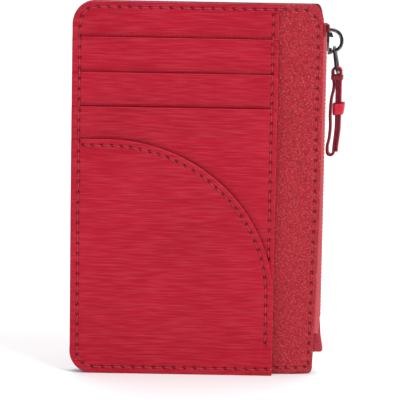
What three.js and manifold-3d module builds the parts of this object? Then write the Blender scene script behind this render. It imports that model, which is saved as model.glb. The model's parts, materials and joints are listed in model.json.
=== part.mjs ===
// Slim leather card holder with a zipped side pocket.
//
// Millimetres, +Z up. The holder stands on its bottom edge: X runs towards the zipped edge, Y towards the
// back, and the origin is the middle of the base panel's bottom edge. Its leathers are layered along Y.
//
//   front: curved pocket | three card slots with their linings | base panel, band and board
//   back:  front lining | the zipped pocket's space | back lining | back panel
//
// The back panel swells away from the front towards the zipped edge, where the zip closes the pocket.

import * as THREE from "three";
import { mergeVertices } from "three/addons/utils/BufferGeometryUtils.js";
import Module from "manifold-3d";

// ---------------------------------------------------------------- driving dimensions

const WIDTH = 75;
const HEIGHT = 112.6;
const LEFT = -WIDTH / 2;
const RIGHT = WIDTH / 2;
const CORNER = 7; // the usual rounded corner
const TIGHT_CORNER = 1.2; // the corner beside the zip's tail
const ZIP_TOP_CORNER = { front: 2.8, back: 1.6, high: 6 }; // the steep corners beside the zip's head

const LEATHER = 0.9; // base panel and band
const SLOT_LEATHER = 0.7; // skived leather of the card slots and the curved pocket
const BACK_LEATHER = 1.0;
const LINING = 0.25;
const SLOT_LINING = 0.2;
const LAYER_GAP = 0.05; // between neighbouring layers
const TAPE = 0.3; // woven tape of the zip

const SMOOTH_RIGHT = 24; // right edge of the smooth leathers, over the band
const BAND_LEFT = 19.5; // the band reaches under the smooth leathers
const SLOT_TOPS = { top: 101.9, middle: 91.4, bottom: 81.1 };
const POCKET_TOP = 71.3;
const POCKET_BEND = -26.6; // where the curved pocket's level top turns into its curve
const POCKET_SHOULDER = 22.1; // where that curve ends, at the smooth leathers' right edge

const BASE_BACK = LEATHER / 2;
const BAND_FRONT = BASE_BACK + LAYER_GAP;
const BAND_BACK = BAND_FRONT + LEATHER;
const FRONT_TAPE_Y = BAND_BACK + LAYER_GAP + TAPE / 2;
const FRONT_LINING_Y = FRONT_TAPE_Y + TAPE / 2 + LAYER_GAP;
const BACK_LINING_Y = FRONT_LINING_Y + LINING + LAYER_GAP;
const BACK_PANEL_Y = BACK_LINING_Y + LINING + 3 * LAYER_GAP;
const SLOT_BACK = -BASE_BACK - LAYER_GAP;

const LINING_INSET = 0.3;
const LINING_RIGHT = 35.9;
const LINING_SWELL = 5.4; // how far the pocket's back lining stands off at the zipped edge
const PANEL_SWELL = 6.1;
const TAPE_SWELL = 5.6;

const ZIP_Y = 4.8; // the zip's centreline, halfway between front and back
const TAPE_INNER = 33; // the tape is sewn in this far from the middle
const TAPE_EDGE_X = 38.05; // the tape's beaded edge, which carries the teeth
const TAPE_ENDS = { front: [8, 107], back: [8, 106.3] };
const CHAIN_X = [37.35, 38.75];
const CHAIN_HALF = 2.2;
const CHAIN_Z = [19.2, 102.3];
const TOOTH_PITCH = 1.25;
const TOOTH_HEIGHT = 0.5;
const TOOTH_REACH = 0.7; // how far a tooth crosses the centreline
const SPINE = 0.9;

const SLIDER_Z = [97.3, 105.5];
const SLIDER_MIDDLE = (SLIDER_Z[0] + SLIDER_Z[1]) / 2;
const SLIDER_HALF = 2.75;
const SLIDER_FACE = 39.3; // outer face of the slider's outer wing
const WING = 0.45;
const BRIDGE_X = 39.35;
const BRIDGE_REACH = 3.76; // how far the bridge stands out
const BRIDGE_HALF = 3.3; // half its height
const BRIDGE_WIRE = 0.42;

const LINK_WIRE = 0.38;
const LINK_ANGLE = THREE.MathUtils.degToRad(-67.2); // where the link hangs on the bridge
const LINK_TILT = THREE.MathUtils.degToRad(8.85); // how far it leans outwards
const LINK_LENGTH = 6.44;

const STRAP = 0.8;
const STRAP_WIDTH = 2.8;
const STRAND_X = { outer: 43.05, inner: 42.12 }; // the two strands that hang straight down

// ---------------------------------------------------------------- materials

function finish(color, roughness, metalness = 0) {
  return new THREE.MeshStandardMaterial({ color, roughness, metalness });
}

const SMOOTH = finish(0xb3202f, 0.45);
const GRAINED = finish(0xb8303c, 0.6);
const STRAP_RED = finish(0xb01a2c, 0.45);
const LINING_RED = finish(0x7c1622, 0.85);
const BOARD = finish(0xb59a78, 0.95);
const TAPE_RED = finish(0x8f1a28, 0.9);
const METAL = finish(0x45434a, 0.3, 1);

// ---------------------------------------------------------------- shapes

// A rectangle in the XZ plane with its own radius at each corner; the upper right one may be an ellipse.
function outline(left, right, bottom, top, { tl = 0, tr = 0, trHigh = tr, br = 0, bl = 0 } = {}) {
  const shape = new THREE.Shape();
  shape.moveTo(left + bl, bottom);
  shape.lineTo(right - br, bottom);
  if (br) shape.absarc(right - br, bottom + br, br, -Math.PI / 2, 0);
  shape.lineTo(right, top - trHigh);
  if (tr) shape.absellipse(right - tr, top - trHigh, tr, trHigh, 0, Math.PI / 2);
  shape.lineTo(left + tl, top);
  if (tl) shape.absarc(left + tl, top - tl, tl, Math.PI / 2, Math.PI);
  shape.lineTo(left, bottom + bl);
  if (bl) shape.absarc(left + bl, bottom + bl, bl, Math.PI, 1.5 * Math.PI);
  return shape;
}

function polygon(points) {
  return new THREE.Shape(points.map(([x, y]) => new THREE.Vector2(x, y)));
}

function extrusion(shape, depth) {
  return new THREE.ExtrudeGeometry(shape, { depth, bevelEnabled: false, curveSegments: 6 });
}

// An XZ outline from front to back.
function plate(shape, front, back) {
  return extrusion(shape, back - front).rotateX(Math.PI / 2).translate(0, back, 0);
}

// An XY outline standing from bottom to top.
function column(shape, bottom, top) {
  return extrusion(shape, top - bottom).translate(0, 0, bottom);
}

// A YZ outline running from left to right.
function rail(shape, left, right) {
  const turn = new THREE.Matrix4().makeBasis(
    new THREE.Vector3(0, 1, 0),
    new THREE.Vector3(0, 0, 1),
    new THREE.Vector3(1, 0, 0),
  );
  return extrusion(shape, right - left).applyMatrix4(turn).translate(left, 0, 0);
}

function block([x0, x1], [y0, y1], [z0, z1]) {
  return new THREE.BoxGeometry(x1 - x0, y1 - y0, z1 - z0).translate(
    (x0 + x1) / 2,
    (y0 + y1) / 2,
    (z0 + z1) / 2,
  );
}

// ---------------------------------------------------------------- joins and cuts

const wasm = await Module();
wasm.setup();

function solidOf(geometry) {
  const bare = geometry.index ? geometry.toNonIndexed() : geometry.clone();
  bare.deleteAttribute("normal");
  bare.deleteAttribute("uv");
  const merged = mergeVertices(bare, 1e-4);
  return new wasm.Manifold(
    new wasm.Mesh({
      numProp: 3,
      vertProperties: merged.attributes.position.array,
      triVerts: new Uint32Array(merged.index.array),
    }),
  );
}

function geometryOf(solid) {
  const { vertProperties, triVerts } = solid.getMesh();
  const geometry = new THREE.BufferGeometry();
  geometry.setAttribute("position", new THREE.BufferAttribute(vertProperties, 3));
  geometry.setIndex(new THREE.BufferAttribute(triVerts, 1));
  geometry.computeVertexNormals();
  return geometry;
}

function joined(...geometries) {
  return geometryOf(geometries.map(solidOf).reduce((sum, next) => sum.add(next)));
}

// What of a geometry lies inside an XZ outline.
function trimmed(geometry, shape) {
  const reach = 20;
  return geometryOf(solidOf(geometry).intersect(solidOf(plate(shape, -reach, reach))));
}

// ---------------------------------------------------------------- the holder

const holder = new THREE.Group();

function add(name, geometry, material) {
  const mesh = new THREE.Mesh(geometry, material);
  mesh.name = name;
  holder.add(mesh);
}

const SMOOTH_CORNERS = { tl: CORNER, bl: CORNER };
const SMOOTH_OUTLINE = outline(LEFT, SMOOTH_RIGHT, 0, HEIGHT, SMOOTH_CORNERS);

function addFrontLeathers() {
  const { front, high } = ZIP_TOP_CORNER;
  const band = outline(BAND_LEFT, RIGHT, 0, HEIGHT, { tr: front, trHigh: high, br: TIGHT_CORNER });
  const board = outline(-35, BAND_LEFT - 0.3, 3, 110, { tl: 5, bl: 5 });
  add("base_panel", plate(SMOOTH_OUTLINE, -BASE_BACK, BASE_BACK), SMOOTH);
  add("side_band", plate(band, BAND_FRONT, BAND_BACK), GRAINED);
  add("front_board", plate(board, BAND_FRONT, BAND_BACK), BOARD);
}

// A slot leather is a strip whose back follows the given [z, y] line, from its top edge down.
function slotLeather(backLine) {
  const back = backLine.map(([z, y]) => [y, z]);
  const front = backLine.map(([z, y]) => [y - SLOT_LEATHER, z]).reverse();
  const section = polygon([...front, ...back]);
  return trimmed(rail(section, LEFT - 1, SMOOTH_RIGHT + 1), SMOOTH_OUTLINE);
}

// Each leather lies on the one behind it, and steps forward over that one's top edge.
function addSlots() {
  const hem = { top: 5.4, middle: 5.1 }; // how far a leather reaches down behind the next one's top edge
  const ramp = 7; // the height over which a leather settles back
  const middleBack = SLOT_BACK - SLOT_LINING - LAYER_GAP;
  const bottomBack = middleBack - SLOT_LINING - LAYER_GAP;
  const overTop = SLOT_BACK - SLOT_LEATHER - LAYER_GAP;
  const overMiddle = overTop - 0.4;
  const topFoot = SLOT_TOPS.middle - hem.top;
  const middleFoot = SLOT_TOPS.bottom - hem.middle;

  add(
    "slot_panel_top",
    slotLeather([
      [SLOT_TOPS.top, SLOT_BACK],
      [topFoot, SLOT_BACK],
    ]),
    SMOOTH,
  );
  add(
    "slot_panel_middle",
    slotLeather([
      [SLOT_TOPS.middle, overTop],
      [topFoot, overTop],
      [topFoot - ramp, middleBack],
      [middleFoot, middleBack],
    ]),
    SMOOTH,
  );
  add(
    "slot_panel_bottom",
    slotLeather([
      [SLOT_TOPS.bottom, overMiddle],
      [middleFoot, overMiddle + 0.15],
      [middleFoot - 4.5, bottomBack],
      [0, bottomBack],
    ]),
    SMOOTH,
  );

  const sides = [LEFT + LINING_INSET, SMOOTH_RIGHT - LINING_INSET];
  const lining = (bottom, top) => outline(...sides, bottom, top);
  const topLining = plate(lining(22, topFoot - 0.2), SLOT_BACK - SLOT_LINING, SLOT_BACK);
  const middleLining = plate(lining(12, middleFoot - 0.2), middleBack - SLOT_LINING, middleBack);
  add("slot_lining_top", topLining, LINING_RED);
  add("slot_lining_middle", middleLining, LINING_RED);
  return bottomBack - SLOT_LEATHER;
}

// The pocket's top runs level, then falls in a quarter of an ellipse to the smooth leathers' right edge.
function addCurvedPocket(slotFront) {
  const reach = SMOOTH_RIGHT - POCKET_BEND;
  const drop = POCKET_TOP - POCKET_SHOULDER;
  const shape = new THREE.Shape();
  shape.moveTo(LEFT + CORNER, 0);
  shape.lineTo(SMOOTH_RIGHT, 0);
  shape.lineTo(SMOOTH_RIGHT, POCKET_SHOULDER);
  shape.absellipse(POCKET_BEND, POCKET_SHOULDER, reach, drop, 0, Math.PI / 2);
  shape.lineTo(LEFT, POCKET_TOP);
  shape.lineTo(LEFT, CORNER);
  shape.absarc(LEFT + CORNER, CORNER, CORNER, Math.PI, 1.5 * Math.PI);
  const back = slotFront - LAYER_GAP;
  add("curved_pocket", plate(shape, back - SLOT_LEATHER, back), SMOOTH);
}

// How far the back stands off, from 0 at the stitched edges to 1 along the zip.
function swell(x, z) {
  const across = (x - LEFT) / WIDTH;
  const up = z / HEIGHT;
  const squareness = 6 + 18 * across ** 2;
  return Math.sin((Math.PI / 2) * across) * (1 - Math.abs(2 * up - 1) ** squareness);
}

// A sheet that follows the swell, on a grid that is finest at the top and bottom edges.
function swollenSheet(front, thickness, amount) {
  const sheet = new THREE.BoxGeometry(1, 1, 1, 12, 1, 28);
  const position = sheet.attributes.position;
  for (let i = 0; i < position.count; i += 1) {
    const x = position.getX(i) * WIDTH;
    const z = (HEIGHT / 2) * (1 + Math.sin(Math.PI * position.getZ(i)));
    const y = front + amount * swell(x, z) + (position.getY(i) > 0 ? thickness : 0);
    position.setXYZ(i, x, y, z);
  }
  return sheet;
}

function addPocketWalls() {
  const inset = LINING_INSET;
  const liningCorner = CORNER - 0.5;
  const liningCorners = { tl: liningCorner, bl: liningCorner };
  const liningOutline = outline(LEFT + inset, LINING_RIGHT, inset, HEIGHT - inset, liningCorners);
  const { back: tr, high: trHigh } = ZIP_TOP_CORNER;
  const panelCorners = { tl: CORNER, tr, trHigh, br: TIGHT_CORNER, bl: CORNER };
  const panelOutline = outline(LEFT, RIGHT, 0, HEIGHT, panelCorners);
  const backLiningSheet = swollenSheet(BACK_LINING_Y, LINING, LINING_SWELL);
  const backPanelSheet = swollenSheet(BACK_PANEL_Y, BACK_LEATHER, PANEL_SWELL);
  add("front_lining", plate(liningOutline, FRONT_LINING_Y, FRONT_LINING_Y + LINING), LINING_RED);
  add("back_lining", trimmed(backLiningSheet, liningOutline), LINING_RED);
  add("back_panel", trimmed(backPanelSheet, panelOutline), SMOOTH);
}

// ---------------------------------------------------------------- the zip

// The front tape lies between band and lining, then turns back to carry its teeth.
function frontTape() {
  const half = TAPE / 2;
  const bend = [37.5, FRONT_TAPE_Y];
  const edge = ZIP_Y - CHAIN_HALF - LAYER_GAP;
  const section = polygon([
    [TAPE_INNER, bend[1] - half],
    [bend[0] + 0.2, bend[1] - half],
    [TAPE_EDGE_X + half, bend[1] + 0.25],
    [TAPE_EDGE_X + half, edge],
    [TAPE_EDGE_X - half, edge],
    [TAPE_EDGE_X - half, bend[1] + 0.3],
    [bend[0] + 0.05, bend[1] + half],
    [TAPE_INNER, bend[1] + half],
  ]);
  return column(section, ...TAPE_ENDS.front);
}

// The back tape follows the swell between lining and panel, then turns forward to carry its teeth.
function backTape() {
  const half = TAPE / 2;
  const edge = ZIP_Y + CHAIN_HALF + LAYER_GAP;
  const levels = 24;
  const tape = new THREE.BoxGeometry(1, 1, 1, 3, 1, levels);
  const position = tape.attributes.position;
  const [bottom, top] = TAPE_ENDS.back;
  for (let i = 0; i < position.count; i += 1) {
    const column = Math.round((position.getX(i) + 0.5) * 3);
    const outer = position.getY(i) > 0;
    const z = (top + bottom) / 2 + ((top - bottom) / 2) * Math.sin(Math.PI * position.getZ(i));
    const y = BACK_PANEL_Y - LAYER_GAP / 2 + TAPE_SWELL * swell(36, z);
    const side = outer ? 1 : -1;
    const places = [
      [TAPE_INNER, y + side * half],
      [37.55 + side * 0.1, y + side * half],
      [TAPE_EDGE_X + side * half, y - 0.3 + side * 0.05],
      [TAPE_EDGE_X + side * half, edge],
    ];
    position.setXYZ(i, places[column][0], places[column][1], z);
  }
  return tape;
}

// One side of the chain: a spine with a row of teeth that reach past the centreline.
// side is -1 for the front row and 1 for the back row, whose teeth sit half a pitch higher.
function teeth(side) {
  const [bottom, top] = CHAIN_Z;
  const outer = ZIP_Y + side * CHAIN_HALF;
  const spine = ZIP_Y + side * (CHAIN_HALF - SPINE);
  const tip = ZIP_Y - side * TOOTH_REACH;
  const points = [
    [outer, top],
    [outer, bottom],
    [spine, bottom],
  ];
  const first = bottom + 0.3 + (side > 0 ? TOOTH_PITCH / 2 : 0);
  for (let z = first; z + TOOTH_HEIGHT < top; z += TOOTH_PITCH) {
    points.push([spine, z], [tip, z], [tip, z + TOOTH_HEIGHT], [spine, z + TOOTH_HEIGHT]);
  }
  points.push([spine, top]);
  return rail(polygon(points), ...CHAIN_X);
}

function addZip() {
  const inOrder = (a, b) => [Math.min(a, b), Math.max(a, b)];
  const row = (side) => inOrder(ZIP_Y + side * CHAIN_HALF, ZIP_Y + side * (CHAIN_HALF - SPINE));
  const topStop = [105.6, 106.3];
  const tail = polygon([
    [36.9, 6.2],
    [38.5, 6.2],
    [38.95, 6.8],
    [39.05, 8],
    [38.75, 11.7],
    [38.45, 17.2],
    [36.9, 17.2],
  ]);
  add("zip_tape_front", frontTape(), TAPE_RED);
  add("zip_tape_back", backTape(), TAPE_RED);
  add("zip_teeth_front", teeth(-1), METAL);
  add("zip_teeth_back", teeth(1), METAL);
  add("zip_top_stop_front", block(CHAIN_X, row(-1), topStop), METAL);
  add("zip_top_stop_back", block(CHAIN_X, row(1), topStop), METAL);
  add("zip_bottom_stop", block([37.2, 38.9], [ZIP_Y - 2.1, ZIP_Y + 2.1], [17.6, 19]), METAL);
  add("zip_head_tab_front", block([37.6, 39.4], [0.35, 1.35], [104, 107.2]), STRAP_RED);
  add("zip_head_tab_back", block([37.6, 39.3], [8.35, 9.2], [102.2, 105.2]), STRAP_RED);
  add("zip_tail_tab", plate(tail, ZIP_Y - 2.1, ZIP_Y + 2.1), STRAP_RED);
}

// ---------------------------------------------------------------- the slider and its pull

// Two wings joined by the wedge that parts the teeth, with flanges that hold them in.
function sliderBody() {
  const [bottom, top] = SLIDER_Z;
  const wing = outline(ZIP_Y - SLIDER_HALF, ZIP_Y + SLIDER_HALF, bottom, top, { tl: 1, tr: 1, br: 1, bl: 1 });
  const wedge = polygon([
    [ZIP_Y, 102.7],
    [ZIP_Y + 1.1, 103.8],
    [ZIP_Y + 0.8, top - 0.2],
    [ZIP_Y - 0.8, top - 0.2],
    [ZIP_Y - 1.1, 103.8],
  ]);
  const inner = [36.75, 37.2];
  const outer = [SLIDER_FACE - WING, SLIDER_FACE];
  const flanges = [-1, 1].flatMap((side) => {
    const y = [ZIP_Y + side * 2.3, ZIP_Y + side * (SLIDER_HALF - 0.02)].sort((a, b) => a - b);
    const z = [bottom + 0.9, top - 0.9];
    return [block([inner[1] - 0.1, 37.65], y, z), block([38.35, outer[0] + 0.1], y, z)];
  });
  const post = rail(wedge, inner[1] - 0.1, outer[0] + 0.1);
  return joined(rail(wing, ...inner), rail(wing, ...outer), post, ...flanges);
}

// A point of the bridge's middle line, a little squarer than half an ellipse.
function onBridge(angle, target = new THREE.Vector3()) {
  return target.set(
    BRIDGE_X + BRIDGE_REACH * Math.max(Math.cos(angle), 0) ** 0.8,
    ZIP_Y,
    SLIDER_MIDDLE + BRIDGE_HALF * Math.sin(angle),
  );
}

class BridgeCurve extends THREE.Curve {
  getPoint(t, target) {
    return onBridge(Math.PI * (t - 0.5), target);
  }
}

// The bridge is a D on the outer wing, standing on a foot at each end.
function bridge() {
  const section = new THREE.Shape().absarc(0, 0, BRIDGE_WIRE, 0, 2 * Math.PI);
  const ring = new THREE.ExtrudeGeometry(section, {
    steps: 24,
    extrudePath: new BridgeCurve(),
    curveSegments: 5,
    bevelEnabled: false,
  });
  const head = SLIDER_MIDDLE + BRIDGE_HALF;
  const lowerFoot = block([BRIDGE_X, 40.2], [ZIP_Y - 0.75, ZIP_Y + 0.75], [SLIDER_Z[0], 99.2]);
  const upperFoot = block([BRIDGE_X, 39.9], [ZIP_Y - 0.6, ZIP_Y + 0.6], [head - 0.6, head + 0.5]);
  return joined(ring, lowerFoot, upperFoot);
}

const LINK_HANG = onBridge(LINK_ANGLE);
const LINK_DOWN = new THREE.Vector3(Math.sin(LINK_TILT), 0, -Math.cos(LINK_TILT));
const LINK_BAR = LINK_HANG.clone().addScaledVector(LINK_DOWN, LINK_LENGTH);

// The link is one closed wire: narrow and round where it hangs, wide and square where the strap sits.
class LinkCurve extends THREE.Curve {
  constructor() {
    super();
    const top = 1.05;
    const half = 2.05;
    const corner = 0.6;
    this.flat = new THREE.Path();
    this.flat.absarc(0, 0, top, Math.PI, 0, true);
    this.flat.lineTo(half, corner - LINK_LENGTH);
    this.flat.absarc(half - corner, corner - LINK_LENGTH, corner, 0, -Math.PI / 2, true);
    this.flat.lineTo(corner - half, -LINK_LENGTH);
    this.flat.absarc(corner - half, corner - LINK_LENGTH, corner, -Math.PI / 2, -Math.PI, true);
    this.flat.lineTo(-top, 0);
  }

  getPoint(t, target = new THREE.Vector3()) {
    const { x, y } = this.flat.getPointAt(t % 1);
    return target.copy(LINK_HANG).add(new THREE.Vector3(0, x, 0)).addScaledVector(LINK_DOWN, -y);
  }
}

// The strap is one strip: from its loose tail up, over the link's bar, down to a loop, and up again.
function strapPath() {
  const path = new THREE.Path();
  const { outer, inner } = STRAND_X;
  const fold = { x: LINK_BAR.x - 0.2, z: LINK_BAR.z + 0.15, r: 1.22 };
  const loop = { x: 40.53, z: 67.8, r: 0.97 };
  const down = [
    [40.78, 90.8],
    [41.12, 88.9],
    [41.1, 87],
    [40.58, 84.6],
    [40.3, 82],
    [40.2, 79],
    [40.33, 75.6],
    [40.06, 72],
    [loop.x - loop.r, 69.6],
    [loop.x - loop.r, loop.z],
  ];
  path.moveTo(42.35, 68);
  path.bezierCurveTo(42.4, 71, outer, 73, outer, 77);
  path.lineTo(outer, 88.5);
  path.bezierCurveTo(outer, 89.8, fold.x + fold.r, 90.6, fold.x + fold.r, fold.z);
  path.absarc(fold.x, fold.z, fold.r, 0, Math.PI);
  path.splineThru(down.map(([x, z]) => new THREE.Vector2(x, z)));
  path.absarc(loop.x, loop.z, loop.r, Math.PI, 2 * Math.PI);
  path.bezierCurveTo(loop.x + loop.r, 71, inner, 73, inner, 77);
  path.lineTo(inner, 90.9);
  return path;
}

function strapShape() {
  const line = strapPath().getPoints(5);
  const sides = [[], []];
  line.forEach((point, i) => {
    const before = line[Math.max(i - 1, 0)];
    const after = line[Math.min(i + 1, line.length - 1)];
    const along = after.clone().sub(before).normalize();
    const across = new THREE.Vector2(-along.y, along.x).multiplyScalar(STRAP / 2);
    sides[0].push(point.clone().sub(across));
    sides[1].push(point.clone().add(across));
  });
  return new THREE.Shape([...sides[0], ...sides[1].reverse()]);
}

// A flat ring that holds the strap's two straight strands together.
function keeper() {
  const half = STRAP_WIDTH / 2;
  const ring = outline(40.95, 44.3, ZIP_Y - half - 0.65, ZIP_Y + half + 0.65);
  ring.holes.push(outline(41.66, 43.52, ZIP_Y - half - 0.1, ZIP_Y + half + 0.1));
  return column(ring, 79.1, 82.7);
}

function addPull() {
  const pin = polygon([
    [BRIDGE_X, 102.5],
    [40.6, 102.4],
    [40.1, 103.9],
    [BRIDGE_X, 103.9],
  ]);
  const link = new THREE.TubeGeometry(new LinkCurve(), 60, LINK_WIRE, 8, true);
  const strap = plate(strapShape(), ZIP_Y - STRAP_WIDTH / 2, ZIP_Y + STRAP_WIDTH / 2);
  add("slider_body", sliderBody(), METAL);
  add("slider_bridge", bridge(), METAL);
  add("slider_lock_pin", plate(pin, ZIP_Y - 0.35, ZIP_Y + 0.35), METAL);
  add("pull_link", link, METAL);
  add("pull_strap", strap, STRAP_RED);
  add("strap_keeper", keeper(), STRAP_RED);
}

addFrontLeathers();
addCurvedPocket(addSlots());
addPocketWalls();
addZip();
addPull();

export default holder;
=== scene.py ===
"""The looks of the card holder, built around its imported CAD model.

Shapes are worked out in millimetres, in the row frame: X across towards the zip, Y from front to back, Z up.
The leathers are cut from outlines in the XZ plane, with rounded and painted edges, sewing grooves and holes.
"""

import json
import math

import bmesh
import bpy
import numpy as np
from mathutils import Matrix, Vector, noise
from mathutils.geometry import delaunay_2d_cdt


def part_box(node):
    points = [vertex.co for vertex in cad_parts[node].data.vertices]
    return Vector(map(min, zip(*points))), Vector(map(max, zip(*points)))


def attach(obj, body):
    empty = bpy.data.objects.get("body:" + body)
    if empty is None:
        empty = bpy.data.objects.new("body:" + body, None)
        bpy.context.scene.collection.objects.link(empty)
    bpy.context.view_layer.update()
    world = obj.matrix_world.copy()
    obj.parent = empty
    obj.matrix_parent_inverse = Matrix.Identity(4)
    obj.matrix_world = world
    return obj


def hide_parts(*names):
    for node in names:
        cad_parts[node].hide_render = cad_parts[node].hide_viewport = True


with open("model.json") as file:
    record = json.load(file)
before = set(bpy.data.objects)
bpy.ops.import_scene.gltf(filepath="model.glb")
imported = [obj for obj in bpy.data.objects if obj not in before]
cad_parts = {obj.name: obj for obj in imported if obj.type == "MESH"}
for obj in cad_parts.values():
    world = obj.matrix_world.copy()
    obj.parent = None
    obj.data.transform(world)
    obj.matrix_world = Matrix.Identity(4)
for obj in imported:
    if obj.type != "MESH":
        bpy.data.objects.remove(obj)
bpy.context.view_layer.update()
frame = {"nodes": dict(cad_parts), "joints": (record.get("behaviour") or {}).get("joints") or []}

MM = 0.001
rng = np.random.default_rng(7)


# ---------------- dimensions, from the frame


def cad(node):
    """Lowest and highest corner of a CAD node, in millimetres."""
    low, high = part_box(node)
    return np.array(low) / MM, np.array(high) / MM


BASE = cad("base_panel")
BAND = cad("side_band")
TOP_SLOT = cad("slot_panel_top")
MIDDLE_SLOT = cad("slot_panel_middle")
BOTTOM_SLOT = cad("slot_panel_bottom")
POCKET = cad("curved_pocket")
BACK = cad("back_panel")
FRONT_LINING = cad("front_lining")
TAPE = cad("zip_tape_front")
CHAIN = cad("zip_teeth_front")[0], cad("zip_teeth_back")[1]
SLIDER = cad("slider_body")
KEEPER = cad("strap_keeper")

LEFT, RIGHT, HEIGHT = BASE[0][0], BAND[1][0], BASE[1][2]
SMOOTH_RIGHT = BASE[1][0]
CORNER, TAIL_CORNER = 7.0, 1.2
BAND_TOP, BACK_TOP = (3.6, 5.8), (2.1, 6.0)  # the steep corners beside the zip's head
ZIP_Y = (SLIDER[0][1] + SLIDER[1][1]) / 2
SLIDER_TRAVEL = next(j for j in frame["joints"] if j["name"] == "zip_slide")["range_m"][1] / MM
SLIDER_FOOT = SLIDER[0][2] - SLIDER_TRAVEL

POCKET_BEND = -26.6  # where the curved pocket's level top turns into its curve
POCKET_SHOULDER = 22.1  # where that curve ends, at the smooth leathers' right edge

MARGIN = 1.95  # from the stitches to the edge
LEFT_MARGIN, RIGHT_MARGIN, TOP_MARGIN = 2.2, 1.6, 1.7
STITCH_LEFT = LEFT + LEFT_MARGIN
SEAM_X = SMOOTH_RIGHT - 1.65
STITCH = 3.1  # pitch
HEM = 1.75  # from the curved pocket's edge to its stitches
PRESSED_LIP = 0.06  # what is left of a slot leather's step in the pressed margins


# ---------------- curves and distances


def ramp(value, start, end):
    """0 at start and 1 at end, smooth between; start may be the larger."""
    t = np.clip((value - start) / (end - start), 0, 1)
    return t * t * (3 - 2 * t)


def bell(distance, width):
    return np.exp(-((distance / width) ** 2))


def line(start, end, step=0.7):
    """Points from start up to, but not including, end."""
    start, end = np.array(start, float), np.array(end, float)
    count = max(1, round(float(np.linalg.norm(end - start)) / step))
    return start + (end - start) * (np.arange(count) / count)[:, None]


def arc(centre, radii, start, end, step=0.5):
    """Points of an ellipse's arc from one angle in degrees up to, but not including, another."""
    a0, a1 = math.radians(start), math.radians(end)
    count = max(4, round(abs(a1 - a0) * max(radii) / step))
    angles = a0 + (a1 - a0) * np.arange(count) / count
    return np.stack([centre[0] + radii[0] * np.cos(angles), centre[1] + radii[1] * np.sin(angles)], 1)


def rounded(left, right, bottom, top, bl=0.0, br=0.0, tr=0.0, tl=0.0, step=0.7):
    """A rectangle's outline, counter-clockwise; tr may be a pair, for an elliptical corner."""
    across, high = tr if isinstance(tr, tuple) else (tr, tr)
    parts = [line((left + bl, bottom), (right - br, bottom), step)]
    if br:
        parts.append(arc((right - br, bottom + br), (br, br), -90, 0))
    parts.append(line((right, bottom + br), (right, top - high), step))
    if across:
        parts.append(arc((right - across, top - high), (across, high), 0, 90))
    parts.append(line((right - across, top), (left + tl, top), step))
    if tl:
        parts.append(arc((left + tl, top - tl), (tl, tl), 90, 180))
    parts.append(line((left, top - tl), (left, bottom + bl), step))
    if bl:
        parts.append(arc((left + bl, bottom + bl), (bl, bl), 180, 270))
    return np.vstack(parts)


def normals_of(loop):
    """Inward normals at the points of a closed outline, longer where it turns, as an offset needs."""
    before = loop - np.roll(loop, 1, axis=0)
    after = np.roll(loop, -1, axis=0) - loop
    sides = [np.stack([-e[:, 1], e[:, 0]], 1) / np.linalg.norm(e, axis=1)[:, None] for e in (before, after)]
    middle = sides[0] + sides[1]
    return middle * (2 / (middle**2).sum(1))[:, None]


def inset(loop, distance):
    return loop + distance * normals_of(loop)


def closed(loop):
    return np.vstack([loop, loop[:1]])


def distance_to(points, path):
    """How far each point is from a line of points."""
    best = np.full(len(points), 1e9)
    for a, b in zip(path[:-1], path[1:]):
        along = b - a
        t = np.clip(((points - a) @ along) / (along @ along), 0, 1)
        gap = points - a - t[:, None] * along
        best = np.minimum(best, (gap**2).sum(1))
    return np.sqrt(best)


def inside(points, loop):
    x, z = points[:, 0], points[:, 1]
    odd = np.zeros(len(points), bool)
    for (x0, z0), (x1, z1) in zip(loop, np.roll(loop, -1, axis=0)):
        if z0 != z1:
            odd ^= ((z0 > z) != (z1 > z)) & (x < (x1 - x0) * (z - z0) / (z1 - z0) + x0)
    return odd


def spaced(path, pitch, whole=True):
    """Points at even steps of about one pitch along a line, both ends included."""
    steps = np.linalg.norm(np.diff(path, axis=0), axis=1)
    at = np.concatenate([[0], np.cumsum(steps)])
    count = max(1, round(at[-1] / pitch))
    marks = np.linspace(0, at[-1], count + 1)
    found = np.stack([np.interp(marks, at, path[:, k]) for k in range(path.shape[1])], 1)
    return found if whole else found[:-1]


def noise_at(x, z, scale_x, scale_z, seed=0.0):
    return np.array([noise.noise(Vector((a * scale_x, b * scale_z, seed))) for a, b in zip(x, z)])


# ---------------- meshes


class Shape:
    """Vertices in millimetres and faces, with a material number for each face and a painted shade for each
    vertex.
    """

    def __init__(self):
        self.verts, self.faces, self.paints, self.marks = [], [], [], []

    def join(self, other):
        return self.add(other.verts, other.faces, other.paints, other.marks)

    def add(self, verts, faces, paint=0, marks=0.0):
        start = len(self.verts)
        self.verts.extend(np.asarray(verts, float).tolist())
        self.faces.extend([[start + i for i in face] for face in faces])
        self.paints.extend(list(paint) if np.ndim(paint) else [paint] * len(faces))
        self.marks.extend(list(marks) if np.ndim(marks) else [marks] * len(verts))
        return self


RIGHT_LEAN = [0, 4, 10, 22.5, 35, 50], [1.15, 1.05, 0.85, 0.65, 0.35, 0]  # heights, and how far in
LEFT_LEAN = [0, 9, 25, 50, 105], [0.2, 0.42, 0.31, 0.18, 0.08]


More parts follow.
